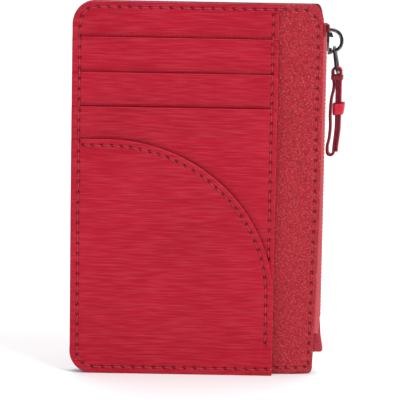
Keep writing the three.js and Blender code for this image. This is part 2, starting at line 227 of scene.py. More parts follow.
def settled(points, give=1.0):
    """The zipped edge has given way near the floor: it leans inwards, and its corner is pinched back.

    The zip, with a give of less than 1, stays straight as far down as the slider runs.
    """
    x, y, z = points.T
    if give < 1:
        give = give * ramp(z, SLIDER_FOOT, SLIDER_FOOT - 6)
    share = np.clip((x - SMOOTH_RIGHT) / (RIGHT - SMOOTH_RIGHT), 0, 1) ** 1.5
    lean = np.interp(z, *RIGHT_LEAN)
    pinch = share**2 * ramp(z, 13, 0)
    left_share = np.clip((SMOOTH_RIGHT - x) / (SMOOTH_RIGHT - LEFT), 0, 1) ** 2
    left_lean = np.interp(z, *LEFT_LEAN)
    moved = x + left_share * left_lean - give * share * lean
    return np.stack([moved, y + 1.6 * pinch, z + 0.3 * pinch], 1)


def piece(name, shape, materials, body="holder", stands_for=(), give=1.0):
    """Makes a Blender mesh of a shape, which rides on a body and stands for its CAD nodes."""
    verts = np.array(shape.verts)
    if body == "holder":
        verts = settled(verts, give)
    mesh = bpy.data.meshes.new(name)
    mesh.from_pydata((verts * MM).tolist(), [], shape.faces)
    mesh.polygons.foreach_set("material_index", np.array(shape.paints, np.int32))
    mesh.polygons.foreach_set("use_smooth", np.ones(len(mesh.polygons), bool))
    # Each vertex's share of painted shade, from 0 to 1, which darkens the colour there
    mark = mesh.attributes.new("mark", "FLOAT", "POINT")
    mark.data.foreach_set("value", np.clip(np.array(shape.marks, np.float32), 0, 1))
    work = bmesh.new()
    work.from_mesh(mesh)
    bmesh.ops.recalc_face_normals(work, faces=work.faces)
    work.to_mesh(mesh)
    work.free()
    for material in materials:
        mesh.materials.append(material)
    mesh.set_sharp_from_angle(angle=math.radians(50))
    obj = bpy.data.objects.new(name, mesh)
    bpy.context.scene.collection.objects.link(obj)
    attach(obj, body)
    if stands_for:
        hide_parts(*stands_for)
    return obj


def triangles(loop, inner):
    """Triangles over a closed outline and the points inside it, the outline's points first."""
    points = np.vstack([loop, inner])
    count = len(loop)
    edges = [(i, (i + 1) % count) for i in range(count)]
    verts, _, faces, *_ = delaunay_2d_cdt([Vector(p) for p in points], edges, [], 1, 1e-6)
    return np.array([tuple(v) for v in verts]), [list(face) for face in faces]


GROOVE_HALF = 0.65  # half the width that a seam's groove takes up in the mesh
GROOVE_DEPTH, THREAD_DEPTH, HOLE_DEPTH = 0.13, 0.4, 0.16
GROOVE_LINES = -GROOVE_HALF, -0.38, -0.18, 0, 0.18, 0.38, GROOVE_HALF


class Seam:
    """A line of holes with the groove that its thread lies in."""

    def __init__(self, path, holes):
        self.path, self.holes = path, holes

    def points(self, loop_distance_of):
        """Points that give a leather's mesh the groove and the holes."""
        found = []
        along = np.gradient(self.path, axis=0)
        across = np.stack([-along[:, 1], along[:, 0]], 1) / np.linalg.norm(along, axis=1)[:, None]
        for offset in GROOVE_LINES:
            found.append(self.path + offset * across)
        ribbon = np.vstack(found)
        gaps = np.linalg.norm(ribbon[:, None] - self.holes[None], axis=2).min(1)
        ribbon = ribbon[gaps > 0.37]
        turn = np.arange(8) * math.pi / 4
        ring = np.stack([np.cos(turn), np.sin(turn)], 1)
        rings = [self.holes] + [(self.holes[:, None] + r * ring).reshape(-1, 2) for r in (0.15, 0.3)]
        points = np.vstack([ribbon, *rings])
        return points[loop_distance_of(points) > 0.55]

    def depth(self, points):
        """How far the groove and holes press the leather in, and how much painted shade goes into them."""
        gap = distance_to(points, self.path)
        hole = np.full(len(points), 1e9)
        for centre in self.holes:
            hole = np.minimum(hole, np.linalg.norm(points - centre, axis=1))
        slot = ramp(hole, 0.85, 0.4) * bell(gap, 0.44)
        depth = GROOVE_DEPTH * bell(gap, 0.36) + THREAD_DEPTH * slot + HOLE_DEPTH * bell(hole, 0.26)
        # The second value is painted shade: full in and around the holes, faint along the groove
        return depth, np.maximum(0.12 * bell(gap, 0.3), slot)


def grid_inside(loop, spacing):
    """A staggered grid inside an outline."""
    low, high = loop.min(0), loop.max(0)
    rows = np.arange(low[1] + spacing[1], high[1], spacing[1])
    across = np.arange(low[0], high[0], spacing[0])
    points = np.array([(x + (i % 2) * spacing[0] / 2, z) for i, z in enumerate(rows) for x in across])
    return points[inside(points, loop)]


def slab(loop, outer, inner, radius=0.25, spacing=(1.5, 1.5), back_spacing=3.0, seams=(), marks=None, pad=0.0,
         plane="front", bulge=0.04, trim=None):
    """A sheet cut to an outline, from outer(x, z), its finished face, to inner(x, z), with rounded edges.

    trim(x, z) is the material number of the edge there, and 1, the paint, when it isn't given.
    """
    trim = trim or (lambda x, z: np.ones(len(x), int))
    ring = closed(loop)
    side = 1 if float(np.mean(outer(loop[:, 0], loop[:, 1]) - inner(loop[:, 0], loop[:, 1]))) > 0 else -1
    rings = [inset(loop, share * radius) for share in (0.1, 0.3, 0.6, 1.0, 2.0)]

    def depth_inside(p):
        return np.where(inside(p, loop), distance_to(p, ring), -1)

    seam_points = [seam.points(depth_inside) for seam in seams]
    grid = grid_inside(loop, spacing)
    keep = distance_to(grid, ring) > 2 * radius + 0.3 * min(spacing)
    for seam in seams:
        keep &= distance_to(grid, seam.path) > GROOVE_HALF + 0.3 * min(spacing)
    points, faces = triangles(loop, np.vstack([*rings, *seam_points, grid[keep]]))
    edge = distance_to(points, ring)
    edge[: len(loop)] = 0

    def drop(distance):
        return radius - np.sqrt(np.maximum(radius**2 - np.maximum(radius - distance, 0) ** 2, 0))

    sunk = drop(edge) - pad * np.sin(math.pi * np.clip(edge / MARGIN, 0, 1))
    # shade is painted shade, darkening the colour in the seams' grooves and holes and wherever marks(x, z)
    # gives it
    shade = np.zeros(len(points))
    for seam in seams:
        depth, dark = seam.depth(points)
        sunk, shade = sunk + depth, np.maximum(shade, dark)
    if marks is not None:
        shade = np.maximum(shade, marks(points[:, 0], points[:, 1]))
    face_y = outer(points[:, 0], points[:, 1]) - side * sunk

    back_grid = grid_inside(loop, (back_spacing, back_spacing))
    back_grid = back_grid[distance_to(back_grid, ring) > 2 * radius + 0.4 * back_spacing]
    back_points, back_faces = triangles(loop, np.vstack([*rings[1:], back_grid]))
    back_edge = distance_to(back_points, ring)
    back_edge[: len(loop)] = 0
    back_y = inner(back_points[:, 0], back_points[:, 1]) + side * drop(back_edge)

    count, start = len(loop), len(points)
    middle = inset(loop, -bulge)
    middle_y = (face_y[:count] + back_y[:count]) / 2
    middle_start = start + len(back_points)
    walls = []
    for i in range(count):
        j = (i + 1) % count
        walls.append([i, j, middle_start + j, middle_start + i])
        walls.append([middle_start + i, middle_start + j, start + j, start + i])
    centres = np.array([points[face].mean(0) for face in faces])
    at_edge = np.array([edge[face].mean() for face in faces]) < 0.3 * radius
    painted = np.where(at_edge, trim(centres[:, 0], centres[:, 1]), 0).tolist()
    sides = (loop + np.roll(loop, -1, axis=0)) / 2
    walls_paint = np.repeat(trim(sides[:, 0], sides[:, 1]), 2).tolist()
    flat = np.vstack([points, back_points, middle])
    depth = np.concatenate([face_y, back_y, middle_y])
    order = {"front": (0, 2, 1), "side": (2, 0, 1)}[plane]
    verts = np.stack([flat[:, 0], flat[:, 1], depth], 1)[:, order]
    all_faces = faces + [[start + i for i in reversed(face)] for face in back_faces] + walls
    paints = painted + [0] * len(back_faces) + walls_paint
    return Shape().add(verts, all_faces, paints, np.concatenate([shade, np.zeros(len(back_points) + count)]))


def level(value):
    """A flat face at one depth."""
    return lambda x, z: np.full(np.shape(x), float(value))


def frames_along(path, is_closed):
    """Two unit normals at each point of a path, carried along it without twist."""
    if is_closed:
        tangents = np.roll(path, -1, axis=0) - np.roll(path, 1, axis=0)
    else:
        tangents = np.gradient(path, axis=0)
    tangents /= np.linalg.norm(tangents, axis=1)[:, None]
    seed = np.array([0, 1, 0.0]) if abs(tangents[0][1]) < 0.8 else np.array([1, 0, 0.0])
    first = [np.cross(tangents[0], seed)]
    for tangent in tangents:
        moved = first[-1] - (first[-1] @ tangent) * tangent
        first.append(moved / np.linalg.norm(moved))
    first = np.array(first[1:])
    return first, np.cross(tangents, first)


def ring_faces(count, around, is_closed=False):
    """The quads between rings of points, each with as many points around."""
    faces = []
    for i in range(count if is_closed else count - 1):
        j = (i + 1) % count
        for k in range(around):
            m = (k + 1) % around
            faces.append([i * around + k, i * around + m, j * around + m, j * around + k])
    return faces


def sweep(path, section, is_closed=False, scale=None):
    """A section of (across, up) points carried along a path, with closed ends."""
    path = np.asarray(path, float)
    first, second = frames_along(path, is_closed)
    scale = np.ones(len(path)) if scale is None else np.asarray(scale, float)
    rings = path[:, None] + scale[:, None, None] * (
        section[None, :, :1] * first[:, None] + section[None, :, 1:] * second[:, None]
    )
    sides, count = len(section), len(path)
    faces = ring_faces(count, sides, is_closed)
    if not is_closed:
        faces.append(list(reversed(range(sides))))
        faces.append([(count - 1) * sides + k for k in range(sides)])
    return rings.reshape(-1, 3), faces


def circle(radius, sides):
    turn = np.arange(sides) * 2 * math.pi / sides
    return radius * np.stack([np.cos(turn), np.sin(turn)], 1)


def tube(path, radius, sides=10, is_closed=False, scale=None):
    return sweep(path, circle(radius, sides), is_closed, scale)


def soft_box(low, high, radius):
    """A box with rounded edges."""
    work = bmesh.new()
    bmesh.ops.create_cube(work, size=1)
    low, high = np.array(low, float), np.array(high, float)
    for vert in work.verts:
        vert.co = Vector((low + high) / 2 + np.array(vert.co) * (high - low))
    edges = list(work.edges)
    bmesh.ops.bevel(work, geom=edges, offset=radius, segments=3, profile=0.5, affect="EDGES")
    work.verts.index_update()
    verts = [tuple(v.co) for v in work.verts]
    faces = [[v.index for v in f.verts] for f in work.faces]
    work.free()
    return verts, faces


# ---------------- materials


class Look:
    """A procedural material in object coordinates, with scales in marks per millimetre."""

    def __init__(self, name, **fixed):
        self.material = bpy.data.materials.new(name)
        self.material.use_nodes = True
        self.tree = self.material.node_tree
        self.shader = self.tree.nodes["Principled BSDF"]
        for key, value in fixed.items():
            self.shader.inputs[key.replace("_", " ").title().replace("Ior", "IOR")].default_value = value
        self.place = self.node("ShaderNodeTexCoord").outputs["Object"]

    def node(self, kind, **values):
        made = self.tree.nodes.new(kind)
        for key, value in values.items():
            if hasattr(made, key):
                setattr(made, key, value)
            else:
                self.join(value, made.inputs[key])
        return made

    def join(self, value, socket):
        if isinstance(value, bpy.types.NodeSocket):
            self.tree.links.new(value, socket)
        else:
            socket.default_value = value

    def scaled(self, scale, turn=(0, 0, 0)):
        mapping = self.node("ShaderNodeMapping", Scale=[s / MM for s in scale], Rotation=turn)
        self.join(self.place, mapping.inputs["Vector"])
        return mapping.outputs["Vector"]

    def noise(self, scale, detail=3.0, roughness=0.55, turn=(0, 0, 0)):
        made = self.node("ShaderNodeTexNoise", Vector=self.scaled(scale, turn), Scale=1.0, Detail=detail,
                         Roughness=roughness)
        return made.outputs["Fac"]

    def cells(self, scale, feature="F1", output="Distance"):
        made = self.node("ShaderNodeTexVoronoi", feature=feature, Vector=self.scaled(scale), Scale=1.0)
        return made.outputs[output]

    def threads(self, scale, axis):
        made = self.node("ShaderNodeTexWave", bands_direction=axis, Vector=self.scaled((scale, scale, scale)),
                         Scale=1.0, Distortion=0.4, Detail=1.0)
        return made.outputs["Fac"]

    def maths(self, operation, a, b=0.5):
        made = self.node("ShaderNodeMath", operation=operation)
        self.join(a, made.inputs[0])
        self.join(b, made.inputs[1])
        return made.outputs[0]

    def spread(self, value, low, high, to_low=0.0, to_high=1.0):
        made = self.node("ShaderNodeMapRange")
        for name, number in (("Value", value), ("From Min", low), ("From Max", high), ("To Min", to_low),
                             ("To Max", to_high)):
            self.join(number, made.inputs[name])
        return made.outputs["Result"]

    def mixed(self, share, a, b):
        made = self.node("ShaderNodeMix", data_type="RGBA")
        for name, value in (("Factor_Float", share), ("A_Color", a), ("B_Color", b)):
            socket = next(s for s in made.inputs if s.identifier == name)
            self.join((*value, 1.0) if isinstance(value, tuple) else value, socket)
        return next(s for s in made.outputs if s.identifier == "Result_Color")

    # Reads each vertex's painted shade, which darkens the leathers' colours
    def mark(self):
        return self.node("ShaderNodeAttribute", attribute_name="mark").outputs["Fac"]

    def bump(self, height, distance, under=None):
        made = self.node("ShaderNodeBump", Height=height, Distance=distance * MM, Strength=1.0)
        if under is not None:
            self.join(under, made.inputs["Normal"])
        return made.outputs["Normal"]

    def finish(self, colour, roughness=None, normal=None):
        self.join(colour, self.shader.inputs["Base Color"])
        if roughness is not None:
            self.join(roughness, self.shader.inputs["Roughness"])
        if normal is not None:
            self.join(normal, self.shader.inputs["Normal"])
        return self.material


def smooth_leather():
    """Cowhide with a fine grain of level streaks pressed into it."""
    look = Look("smooth_leather", specular_ior_level=0.15)
    streaks = look.noise((0.1, 0.5, 1.35), 3.0, 0.6)
    fine = look.noise((0.5, 2.0, 4.5), 2.0)
    patches = look.noise((0.03, 0.03, 0.035), 2.0)
    pores = look.noise((7.0, 7.0, 7.0), 2.0)
    ridges = look.noise((0.13, 0.5, 2.5), 1.0)
    tone = look.maths("ADD", look.maths("MULTIPLY", streaks, 0.7), look.maths("MULTIPLY", patches, 0.5))
    colour = look.mixed(look.spread(tone, 0.42, 0.8), (0.305, 0.0025, 0.014), (0.39, 0.0045, 0.021))
    # Light pink on the tops of the grain's ridges: a painted highlight
    colour = look.mixed(look.spread(ridges, 0.42, 0.72, 0.0, 0.24), colour, (0.6, 0.06, 0.085))
    # Painted shade from the vertices darkens the colour to a near black red
    colour = look.mixed(look.maths("MULTIPLY", look.mark(), 0.92), colour, (0.085, 0.0, 0.005))
    height = look.maths("ADD", streaks, look.maths("MULTIPLY", ridges, 0.8))
    normal = look.bump(pores, 0.012, look.bump(height, 0.08))
    return look.finish(colour, look.spread(fine, 0.3, 0.7, 0.4, 0.52), normal)


def grained_leather():
    """Leather with small round pebbles, painted lighter on top and darker in the valleys between them, as
    painted light and shade.
    """
    look = Look("grained_leather", specular_ior_level=0.22)
    pebbles = look.cells((1.9, 1.9, 1.8), "SMOOTH_F1")
    fine = look.noise((2.0, 2.6, 2.9), 1.0, 0.6)
    patches = look.noise((0.08, 0.08, 0.05), 2.0)
    # Painted light and shade: lighter in the middle of each pebble, darker at its rim
    colour = look.mixed(look.spread(pebbles, 0.15, 0.7), (0.44, 0.011, 0.024), (0.31, 0.005, 0.014))
    colour = look.mixed(look.spread(patches, 0.3, 0.7, 0.0, 0.25), colour, (0.38, 0.012, 0.024))
    # Pale pink specks: painted highlights on the pebbles
    colour = look.mixed(look.spread(fine, 0.52, 0.7, 0.0, 0.48), colour, (0.64, 0.14, 0.155))
    # Painted shade from the vertices darkens the valleys, the seams and the band beside the lapped edge
    colour = look.mixed(look.maths("MULTIPLY", look.mark(), 0.95), colour, (0.07, 0.0, 0.004))
    height = look.maths("SUBTRACT", look.maths("MULTIPLY", fine, 0.6), pebbles)
    return look.finish(colour, look.spread(fine, 0.3, 0.7, 0.4, 0.6), look.bump(height, 0.12))


def strap_leather(name, dark, light):
    look = Look(name, specular_ior_level=0.25)
    fine = look.noise((2.5, 2.5, 1.2), 3.0, 0.6)
    colour = look.mixed(look.spread(fine, 0.3, 0.7), dark, light)
    # Painted shade from the vertices would darken it; the pieces in this leather carry none
    colour = look.mixed(look.maths("MULTIPLY", look.mark(), 0.8), colour, (0.1, 0.0, 0.006))
    return look.finish(colour, look.spread(fine, 0.3, 0.7, 0.3, 0.42), look.bump(fine, 0.02))


def edge_paint(name, dark, light):
    """Brushed-on paint that rounds and seals a cut edge."""
    look = Look(name, specular_ior_level=0.2)
    brushed = look.noise((1.2, 1.2, 1.2), 3.0, 0.6)
    colour = look.mixed(look.spread(brushed, 0.3, 0.7), dark, light)
    return look.finish(colour, look.spread(brushed, 0.3, 0.7, 0.3, 0.45), look.bump(brushed, 0.03))


def dyed_nylon():
    look = Look("dyed_nylon", specular_ior_level=0.5)
    fine = look.noise((4.0, 4.0, 4.0), 2.0)
    colour = look.mixed(look.spread(fine, 0.3, 0.7), (0.14, 0.008, 0.022), (0.3, 0.024, 0.045))
    return look.finish(colour, look.spread(fine, 0.3, 0.7, 0.28, 0.42), look.bump(fine, 0.01))


def sewing_thread():
    """Waxed polyester thread with its twist."""
    look = Look("sewing_thread", specular_ior_level=0.4)
    twist = look.threads(1.6, "DIAGONAL")
    fibres = look.noise((9.0, 9.0, 9.0), 2.0)
    colour = look.mixed(look.spread(twist, 0.2, 0.9), (0.3, 0.01, 0.022), (0.54, 0.055, 0.075))
    height = look.maths("ADD", twist, look.maths("MULTIPLY", fibres, 0.3))
    return look.finish(colour, look.spread(fibres, 0.3, 0.7, 0.35, 0.5), look.bump(height, 0.04))


def woven(name, dark, light, scale, depth):
    """A plain weave of level threads and upright ones."""
    look = Look(name, specular_ior_level=0.25, sheen_weight=0.3, sheen_roughness=0.5)
    warp = look.maths("MAXIMUM", look.threads(scale, "X"), look.threads(scale, "Y"))
    height = look.maths("MULTIPLY", warp, look.threads(scale, "Z"))
    fibres = look.noise((5.0, 5.0, 5.0), 3.0, 0.7)
    tone = look.maths("ADD", look.maths("MULTIPLY", height, 0.7), look.maths("MULTIPLY", fibres, 0.4))
    colour = look.mixed(look.spread(tone, 0.2, 0.9), dark, light)
    return look.finish(colour, look.spread(fibres, 0.3, 0.7, 0.7, 0.9), look.bump(tone, depth))


def paper_board():
    look = Look("paper_board", specular_ior_level=0.2)
    fibres = look.noise((1.5, 1.5, 6.0), 4.0, 0.7)
    colour = look.mixed(fibres, (0.42, 0.3, 0.18), (0.56, 0.42, 0.28))
    return look.finish(colour, look.spread(fibres, 0.3, 0.7, 0.85, 0.95), look.bump(fibres, 0.03))


def gunmetal():
    """Dark plating, polished on the high spots and dulled by handling."""
    look = Look("gunmetal", metallic=1.0)
    worn = look.noise((0.9, 0.9, 0.9), 4.0, 0.65)
    fine = look.noise((6.0, 6.0, 14.0), 2.0)
    colour = look.mixed(look.spread(worn, 0.35, 0.7), (0.1, 0.098, 0.1), (0.28, 0.27, 0.28))
    return look.finish(colour, look.spread(worn, 0.3, 0.7, 0.16, 0.3), look.bump(fine, 0.004))


SMOOTH = smooth_leather()
GRAINED = grained_leather()
STRAP = strap_leather("strap_leather", (0.42, 0.008, 0.024), (0.6, 0.022, 0.05))
BOUND = strap_leather("bound_leather", (0.13, 0.005, 0.016), (0.3, 0.014, 0.033))
TAIL = strap_leather("tail_leather", (0.28, 0.01, 0.022), (0.5, 0.035, 0.055))
PAINT = edge_paint("edge_paint", (0.075, 0.014, 0.022), (0.14, 0.024, 0.036))
# A light red edge colour: a painted highlight along edges that catch the light
EDGE_HIGHLIGHT = edge_paint("edge_highlight_paint", (0.4, 0.02, 0.035), (0.56, 0.05, 0.07))
STRAP_PAINT = edge_paint("strap_edge_paint", (0.1, 0.003, 0.01), (0.22, 0.009, 0.02))
THREAD = sewing_thread()
LINING = woven("lining_cloth", (0.1, 0.006, 0.012), (0.22, 0.016, 0.028), 1.0, 0.04)
WEBBING = woven("zip_webbing", (0.38, 0.04, 0.052), (0.68, 0.15, 0.16), 0.8, 0.05)
BOARD = paper_board()
NYLON = dyed_nylon()
METAL = gunmetal()
TAPE_END = woven("tape_end", (0.14, 0.004, 0.012), (0.42, 0.03, 0.05), 0.8, 0.05)
# Near-black paint for the box in a folded tape end's hollow: painted shade
FOLD_SHADE = edge_paint("tape_fold_painted_shade", (0.05, 0.002, 0.006), (0.1, 0.004, 0.01))


# ---------------- the front's outlines and surfaces

SMOOTH_LOOP = rounded(LEFT, SMOOTH_RIGHT, 0, HEIGHT, bl=CORNER, tl=CORNER)
BAND_LOOP = rounded(BAND[0][0], RIGHT, 0, HEIGHT, br=TAIL_CORNER, tr=BAND_TOP)


def pocket_edge(step=0.5):
    """The curved pocket's free edge from its right end to its level left end."""
    reach, drop = SMOOTH_RIGHT - POCKET_BEND, POCKET[1][2] - POCKET_SHOULDER
    curve = arc((POCKET_BEND, POCKET_SHOULDER), (reach, drop), 0, 90, step)
    return np.vstack([curve, line((POCKET_BEND, POCKET[1][2]), (LEFT, POCKET[1][2]), step)])


POCKET_LOOP = np.vstack([
    line((LEFT + CORNER, 0), (SMOOTH_RIGHT, 0)),
    line((SMOOTH_RIGHT, 0), (SMOOTH_RIGHT, POCKET_SHOULDER)),
    pocket_edge(),
    line((LEFT, POCKET[1][2]), (LEFT, CORNER)),
    arc((LEFT + CORNER, CORNER), (CORNER, CORNER), 180, 270),
])


def slot_loop(box, corner=0.0):
    return rounded(LEFT, SMOOTH_RIGHT, box[0][2], box[1][2], bl=corner)


def pressed(x):
    """1 in the stitched side margins, where the layers are pressed flat, and 0 between them."""
    left = ramp(x, STITCH_LEFT + 0.7, STITCH_LEFT - 0.3)
    return np.maximum(left, ramp(x, SEAM_X - 0.6, SEAM_X + 0.4))


def open_share(x):
    """How freely a slot's mouth stands open, most in the middle between the stitched margins."""
    t = np.clip((x - STITCH_LEFT) / (SEAM_X - STITCH_LEFT), 0, 1)
    return np.sin(math.pi * t) ** 0.6


MOUTH_DIP = 0.22  # how far the leather behind a mouth gives way


def mouth_dip(x, above):
    """The soft valley in the leather behind a mouth, just above the edge in front of it."""
    return (1 - pressed(x)) * MOUTH_DIP * bell(np.maximum(above - 0.1, 0), 0.75)


def mouth_painted_shade(x, above):
    """The painted shade in that valley."""
    return (1 - pressed(x)) * (0.45 * bell(np.maximum(above - 0.12, 0), 0.3) + 0.1 * bell(above, 1.6))


def lipped(surface, behind, box):
    """A slot leather's face, which thins out to the one behind it where the margins press its top edge."""

    def face(x, z):
        y = surface(x, z)
        near = ramp(z, box[1][2] - 2.8, box[1][2])
        bow = 0.16 * open_share(x) * bell(box[1][2] - z, 4.5)
        flat = np.minimum(behind(x, z) - PRESSED_LIP, 0)
        return y - bow * (1 - pressed(x)) + pressed(x) * near * (flat - y)

    return face


def base_face(x, z):
    return BASE[0][1] + mouth_dip(x, z - TOP_SLOT[1][2])


def top_plain(x, z):
    return TOP_SLOT[0][1] + mouth_dip(x, z - MIDDLE_SLOT[1][2])


def middle_plain(x, z):
    settles = 0.5 * ramp(z, TOP_SLOT[0][2], TOP_SLOT[0][2] - 7)
    return MIDDLE_SLOT[0][1] + settles + mouth_dip(x, z - BOTTOM_SLOT[1][2])


def bottom_plain(x, z):
    foot = MIDDLE_SLOT[0][2]
    settles = 0.15 * ramp(z, BOTTOM_SLOT[1][2], foot) + 0.5 * ramp(z, foot, foot - 4.5)
    return BOTTOM_SLOT[0][1] + settles


top_face = lipped(top_plain, level(BASE[0][1]), TOP_SLOT)
middle_face = lipped(middle_plain, level(TOP_SLOT[0][1]), MIDDLE_SLOT)
bottom_face = lipped(bottom_plain, middle_plain, BOTTOM_SLOT)


def pocket_height(x):
    """Z of the curved pocket's free edge."""
    across = np.clip((x - POCKET_BEND) / (SMOOTH_RIGHT - POCKET_BEND), 0, 1)
    return POCKET_SHOULDER + (POCKET[1][2] - POCKET_SHOULDER) * np.sqrt(1 - across**2)


def edge_gap(x, z):
    """Roughly how far a point is outside the curved pocket's free edge, and negative inside it."""
    reach, drop = SMOOTH_RIGHT - POCKET_BEND, POCKET[1][2] - POCKET_SHOULDER
    across = np.maximum(x - POCKET_BEND, 0) / reach
    up = np.maximum(z - POCKET_SHOULDER, 0) / drop
    radius = np.sqrt(across**2 + up**2)
    slope = np.sqrt((across / reach) ** 2 + (up / drop) ** 2) / np.maximum(radius, 1e-6)
    return (radius - 1) / np.maximum(slope, 1e-3)


def bottom_dipped(x, z):
    return bottom_face(x, z) + 0.7 * mouth_dip(x, np.abs(edge_gap(x, z)))


def pocket_face(x, z):
    """The pocket stands off along its curve, and is pressed flat at both ends of it."""
    gap = -edge_gap(x, z)
    along = open_share(x) * ramp(z, POCKET_SHOULDER - 4, POCKET_SHOULDER + 18)
    bow = 0.42 * along * bell(gap, 7.0)
    near = ramp(gap, 2.8, 0) * pressed(x) * ramp(z, POCKET_SHOULDER + 12, POCKET_SHOULDER + 16)
    flat = bottom_face(x, z) - PRESSED_LIP
    y = POCKET[0][1] - bow * (1 - pressed(x))
    return y + near * (flat - y)


def band_face(x, z):
    return np.full(np.shape(x), BAND[0][1])


def front_face(x, z):
    """The foremost surface at a point of the front, as the sewing meets it."""
    x, z = np.atleast_1d(x), np.atleast_1d(z)
    y = np.where(z > TOP_SLOT[1][2], base_face(x, z), top_face(x, z))
    y = np.where(z > MIDDLE_SLOT[1][2], y, middle_face(x, z))
    y = np.where(z > BOTTOM_SLOT[1][2], y, bottom_face(x, z))
    y = np.where(z > pocket_height(x), y, pocket_face(x, z))
    return np.where(x > SMOOTH_RIGHT, band_face(x, z), y)


def streaked(surface, side=-1, amount=0.03):
    """Adds the level streaks of the pressed grain to a surface."""

    def face(x, z):
        rise = noise_at(x, z, 0.1, 1.15, 3.1) + 0.5 * noise_at(x, z, 0.25, 2.3, 8.7)
        return surface(x, z) + side * amount * rise

    return face


def pebble_height(x, z):
    """0 in the valleys between pebbles and about 1 on their tops."""
    found = []
    for a, b in zip(x, z):
        near = noise.voronoi(Vector((a * 1.25, b * 1.15, 0.3)))[0]
        found.append(min(near[1] - near[0], 0.5) * 2)
    return np.array(found)


# ---------------- sewing


def seam(path, pitch=STITCH, is_closed=False):
    path = closed(path) if is_closed else path
    return Seam(spaced(path, 0.4), spaced(path, pitch, whole=not is_closed))


def perimeter(right_top):
    """The outer seam's line; right_top is its corner beside the zip's head."""
    turn = CORNER - LEFT_MARGIN
    right, top = RIGHT - RIGHT_MARGIN, HEIGHT - TOP_MARGIN
    foot_turn = TAIL_CORNER - MARGIN + 0.6
    return rounded(STITCH_LEFT, right, MARGIN, top, bl=turn, br=foot_turn, tr=right_top, tl=turn)


def pocket_hem():
    """The hem's stitches follow the free edge from the left margin, then run down beside the right edge."""
    edge = pocket_edge()[::-1]
    edge = edge[edge[:, 0] > STITCH_LEFT + 1.2]
    along = np.gradient(edge, axis=0)
    inward = np.stack([along[:, 1], -along[:, 0]], 1) / np.linalg.norm(along, axis=1)[:, None]
    depth = HEM + 0.45 * ramp(edge[:, 1], POCKET_SHOULDER + 15, POCKET_SHOULDER)
    foot = (SMOOTH_RIGHT - HEM - 0.45, 10.0)
    hem = edge + inward * depth[:, None]
    return np.vstack([hem, line(hem[-1], foot, 0.5), [foot]])


FRONT_SEAM = seam(perimeter((5.0, 6.0)), is_closed=True)
BACK_SEAM = seam(perimeter((3.0, 6.0)), is_closed=True)
BAND_SEAM = seam(np.array([(SEAM_X, HEIGHT - MARGIN - 1.4), (SEAM_X, POCKET_SHOULDER + 13.5)]), 2.9)
POCKET_SEAM = seam(pocket_hem(), 2.9)


def stitches(holes, surface, side, is_closed, radius=0.14):
    """One bowed, slightly slanted stitch from each hole to the next."""
    shape = Shape()
    ends = list(zip(holes, np.roll(holes, -1, axis=0))) if is_closed else list(zip(holes[:-1], holes[1:]))
    t = np.linspace(0, 1, 9)
    for a, b in ends:
        along = b - a
        across = np.array([-along[1], along[0]]) / np.linalg.norm(along)
        slant = (0.06 + 0.03 * rng.random()) * np.cos(math.pi * t)
        flat = a + t[:, None] * along + slant[:, None] * across
        ground = surface(flat[:, 0], flat[:, 1])
        span = ground[0] + (ground[-1] - ground[0]) * t
        ground = np.maximum(ground, span) if side > 0 else np.minimum(ground, span)
        height = -0.55 + 0.59 * np.sin(math.pi * np.clip(t, 0.02, 0.98)) ** 1.2
        path = np.stack([flat[:, 0], ground + side * (height + 0.01 * rng.standard_normal()), flat[:, 1]], 1)
        thickness = 0.75 + 0.25 * np.sin(math.pi * t) ** 0.5
        shape.add(*tube(path, radius, 8, scale=thickness))
    return shape


# ---------------- the leathers

LEATHERS = (SMOOTH, PAINT, EDGE_HIGHLIGHT)
FINE, COARSE = (1.7, 0.45), (1.7, 0.6)  # grids of the leathers with the pressed streaks
PANEL_RADIUS, SLOT_RADIUS = 0.28, 0.2  # of their edges
SLOT_THICK = TOP_SLOT[1][1] - TOP_SLOT[0][1]
BACK_THICK = 1.0
LAPPED_SEAMS = [FRONT_SEAM, BAND_SEAM]


def highlight_right(x, z):
    """Dark paint all round, but for the edge that laps over the band, which gets a painted highlight."""
    return np.where(x > SMOOTH_RIGHT - 0.3, 2, 1)


def highlight_top(box):
    """A painted highlight only along a slot's mouth and over the band."""
    return lambda x, z: np.where((z > box[1][2] - 0.3) & (x > LEFT + 0.3), 2, highlight_right(x, z))


# A painted highlight along the curved pocket's free edge and over the band
def highlight_curve(x, z):
    return np.where((edge_gap(x, z) > -0.4) & (z > POCKET_SHOULDER) & (x > LEFT + 0.3), 2, highlight_right(x, z))


def turned_right(x, z):
    """The zipped edge is turned over, and shows the leather's own face."""
    return np.where((x > RIGHT - 0.6) & (z > 1.5) & (z < HEIGHT - 5), 0, 1)


def add_front_leathers():
    base = slab(
        SMOOTH_LOOP, streaked(base_face), level(BASE[1][1]), PANEL_RADIUS, COARSE, seams=LAPPED_SEAMS,
        marks=lambda x, z: mouth_painted_shade(x, z - TOP_SLOT[1][2]), pad=0.07, trim=highlight_right,
    )
    piece("base_leather", base, LEATHERS, stands_for=["base_panel"])

    def band_outer(x, z):
        calm = np.minimum(1, distance_to(np.stack([x, z], 1), closed(BAND_LOOP)) / 0.8)
        return band_face(x, z) - 0.1 * calm * pebble_height(x, z)

    # Painted shade: darker in the valleys between pebbles, with a painted shadow beside the smooth leather's
    # lapped edge
    def band_painted_shade(x, z):
        beside = np.clip(x - SMOOTH_RIGHT, 0, None)
        lapped_shadow = np.where(x > SMOOTH_RIGHT, 0.45 * bell(beside, 0.4), 0)
        return np.maximum(0.36 * (1 - pebble_height(x, z)) ** 1.6, lapped_shadow)

    band = slab(
        BAND_LOOP, band_outer, level(BAND[1][1]), PANEL_RADIUS, (0.32, 0.28), seams=[FRONT_SEAM],
        marks=band_painted_shade, pad=0.1, trim=turned_right,
    )
    piece("band_leather", band, (GRAINED, PAINT), stands_for=["side_band"])


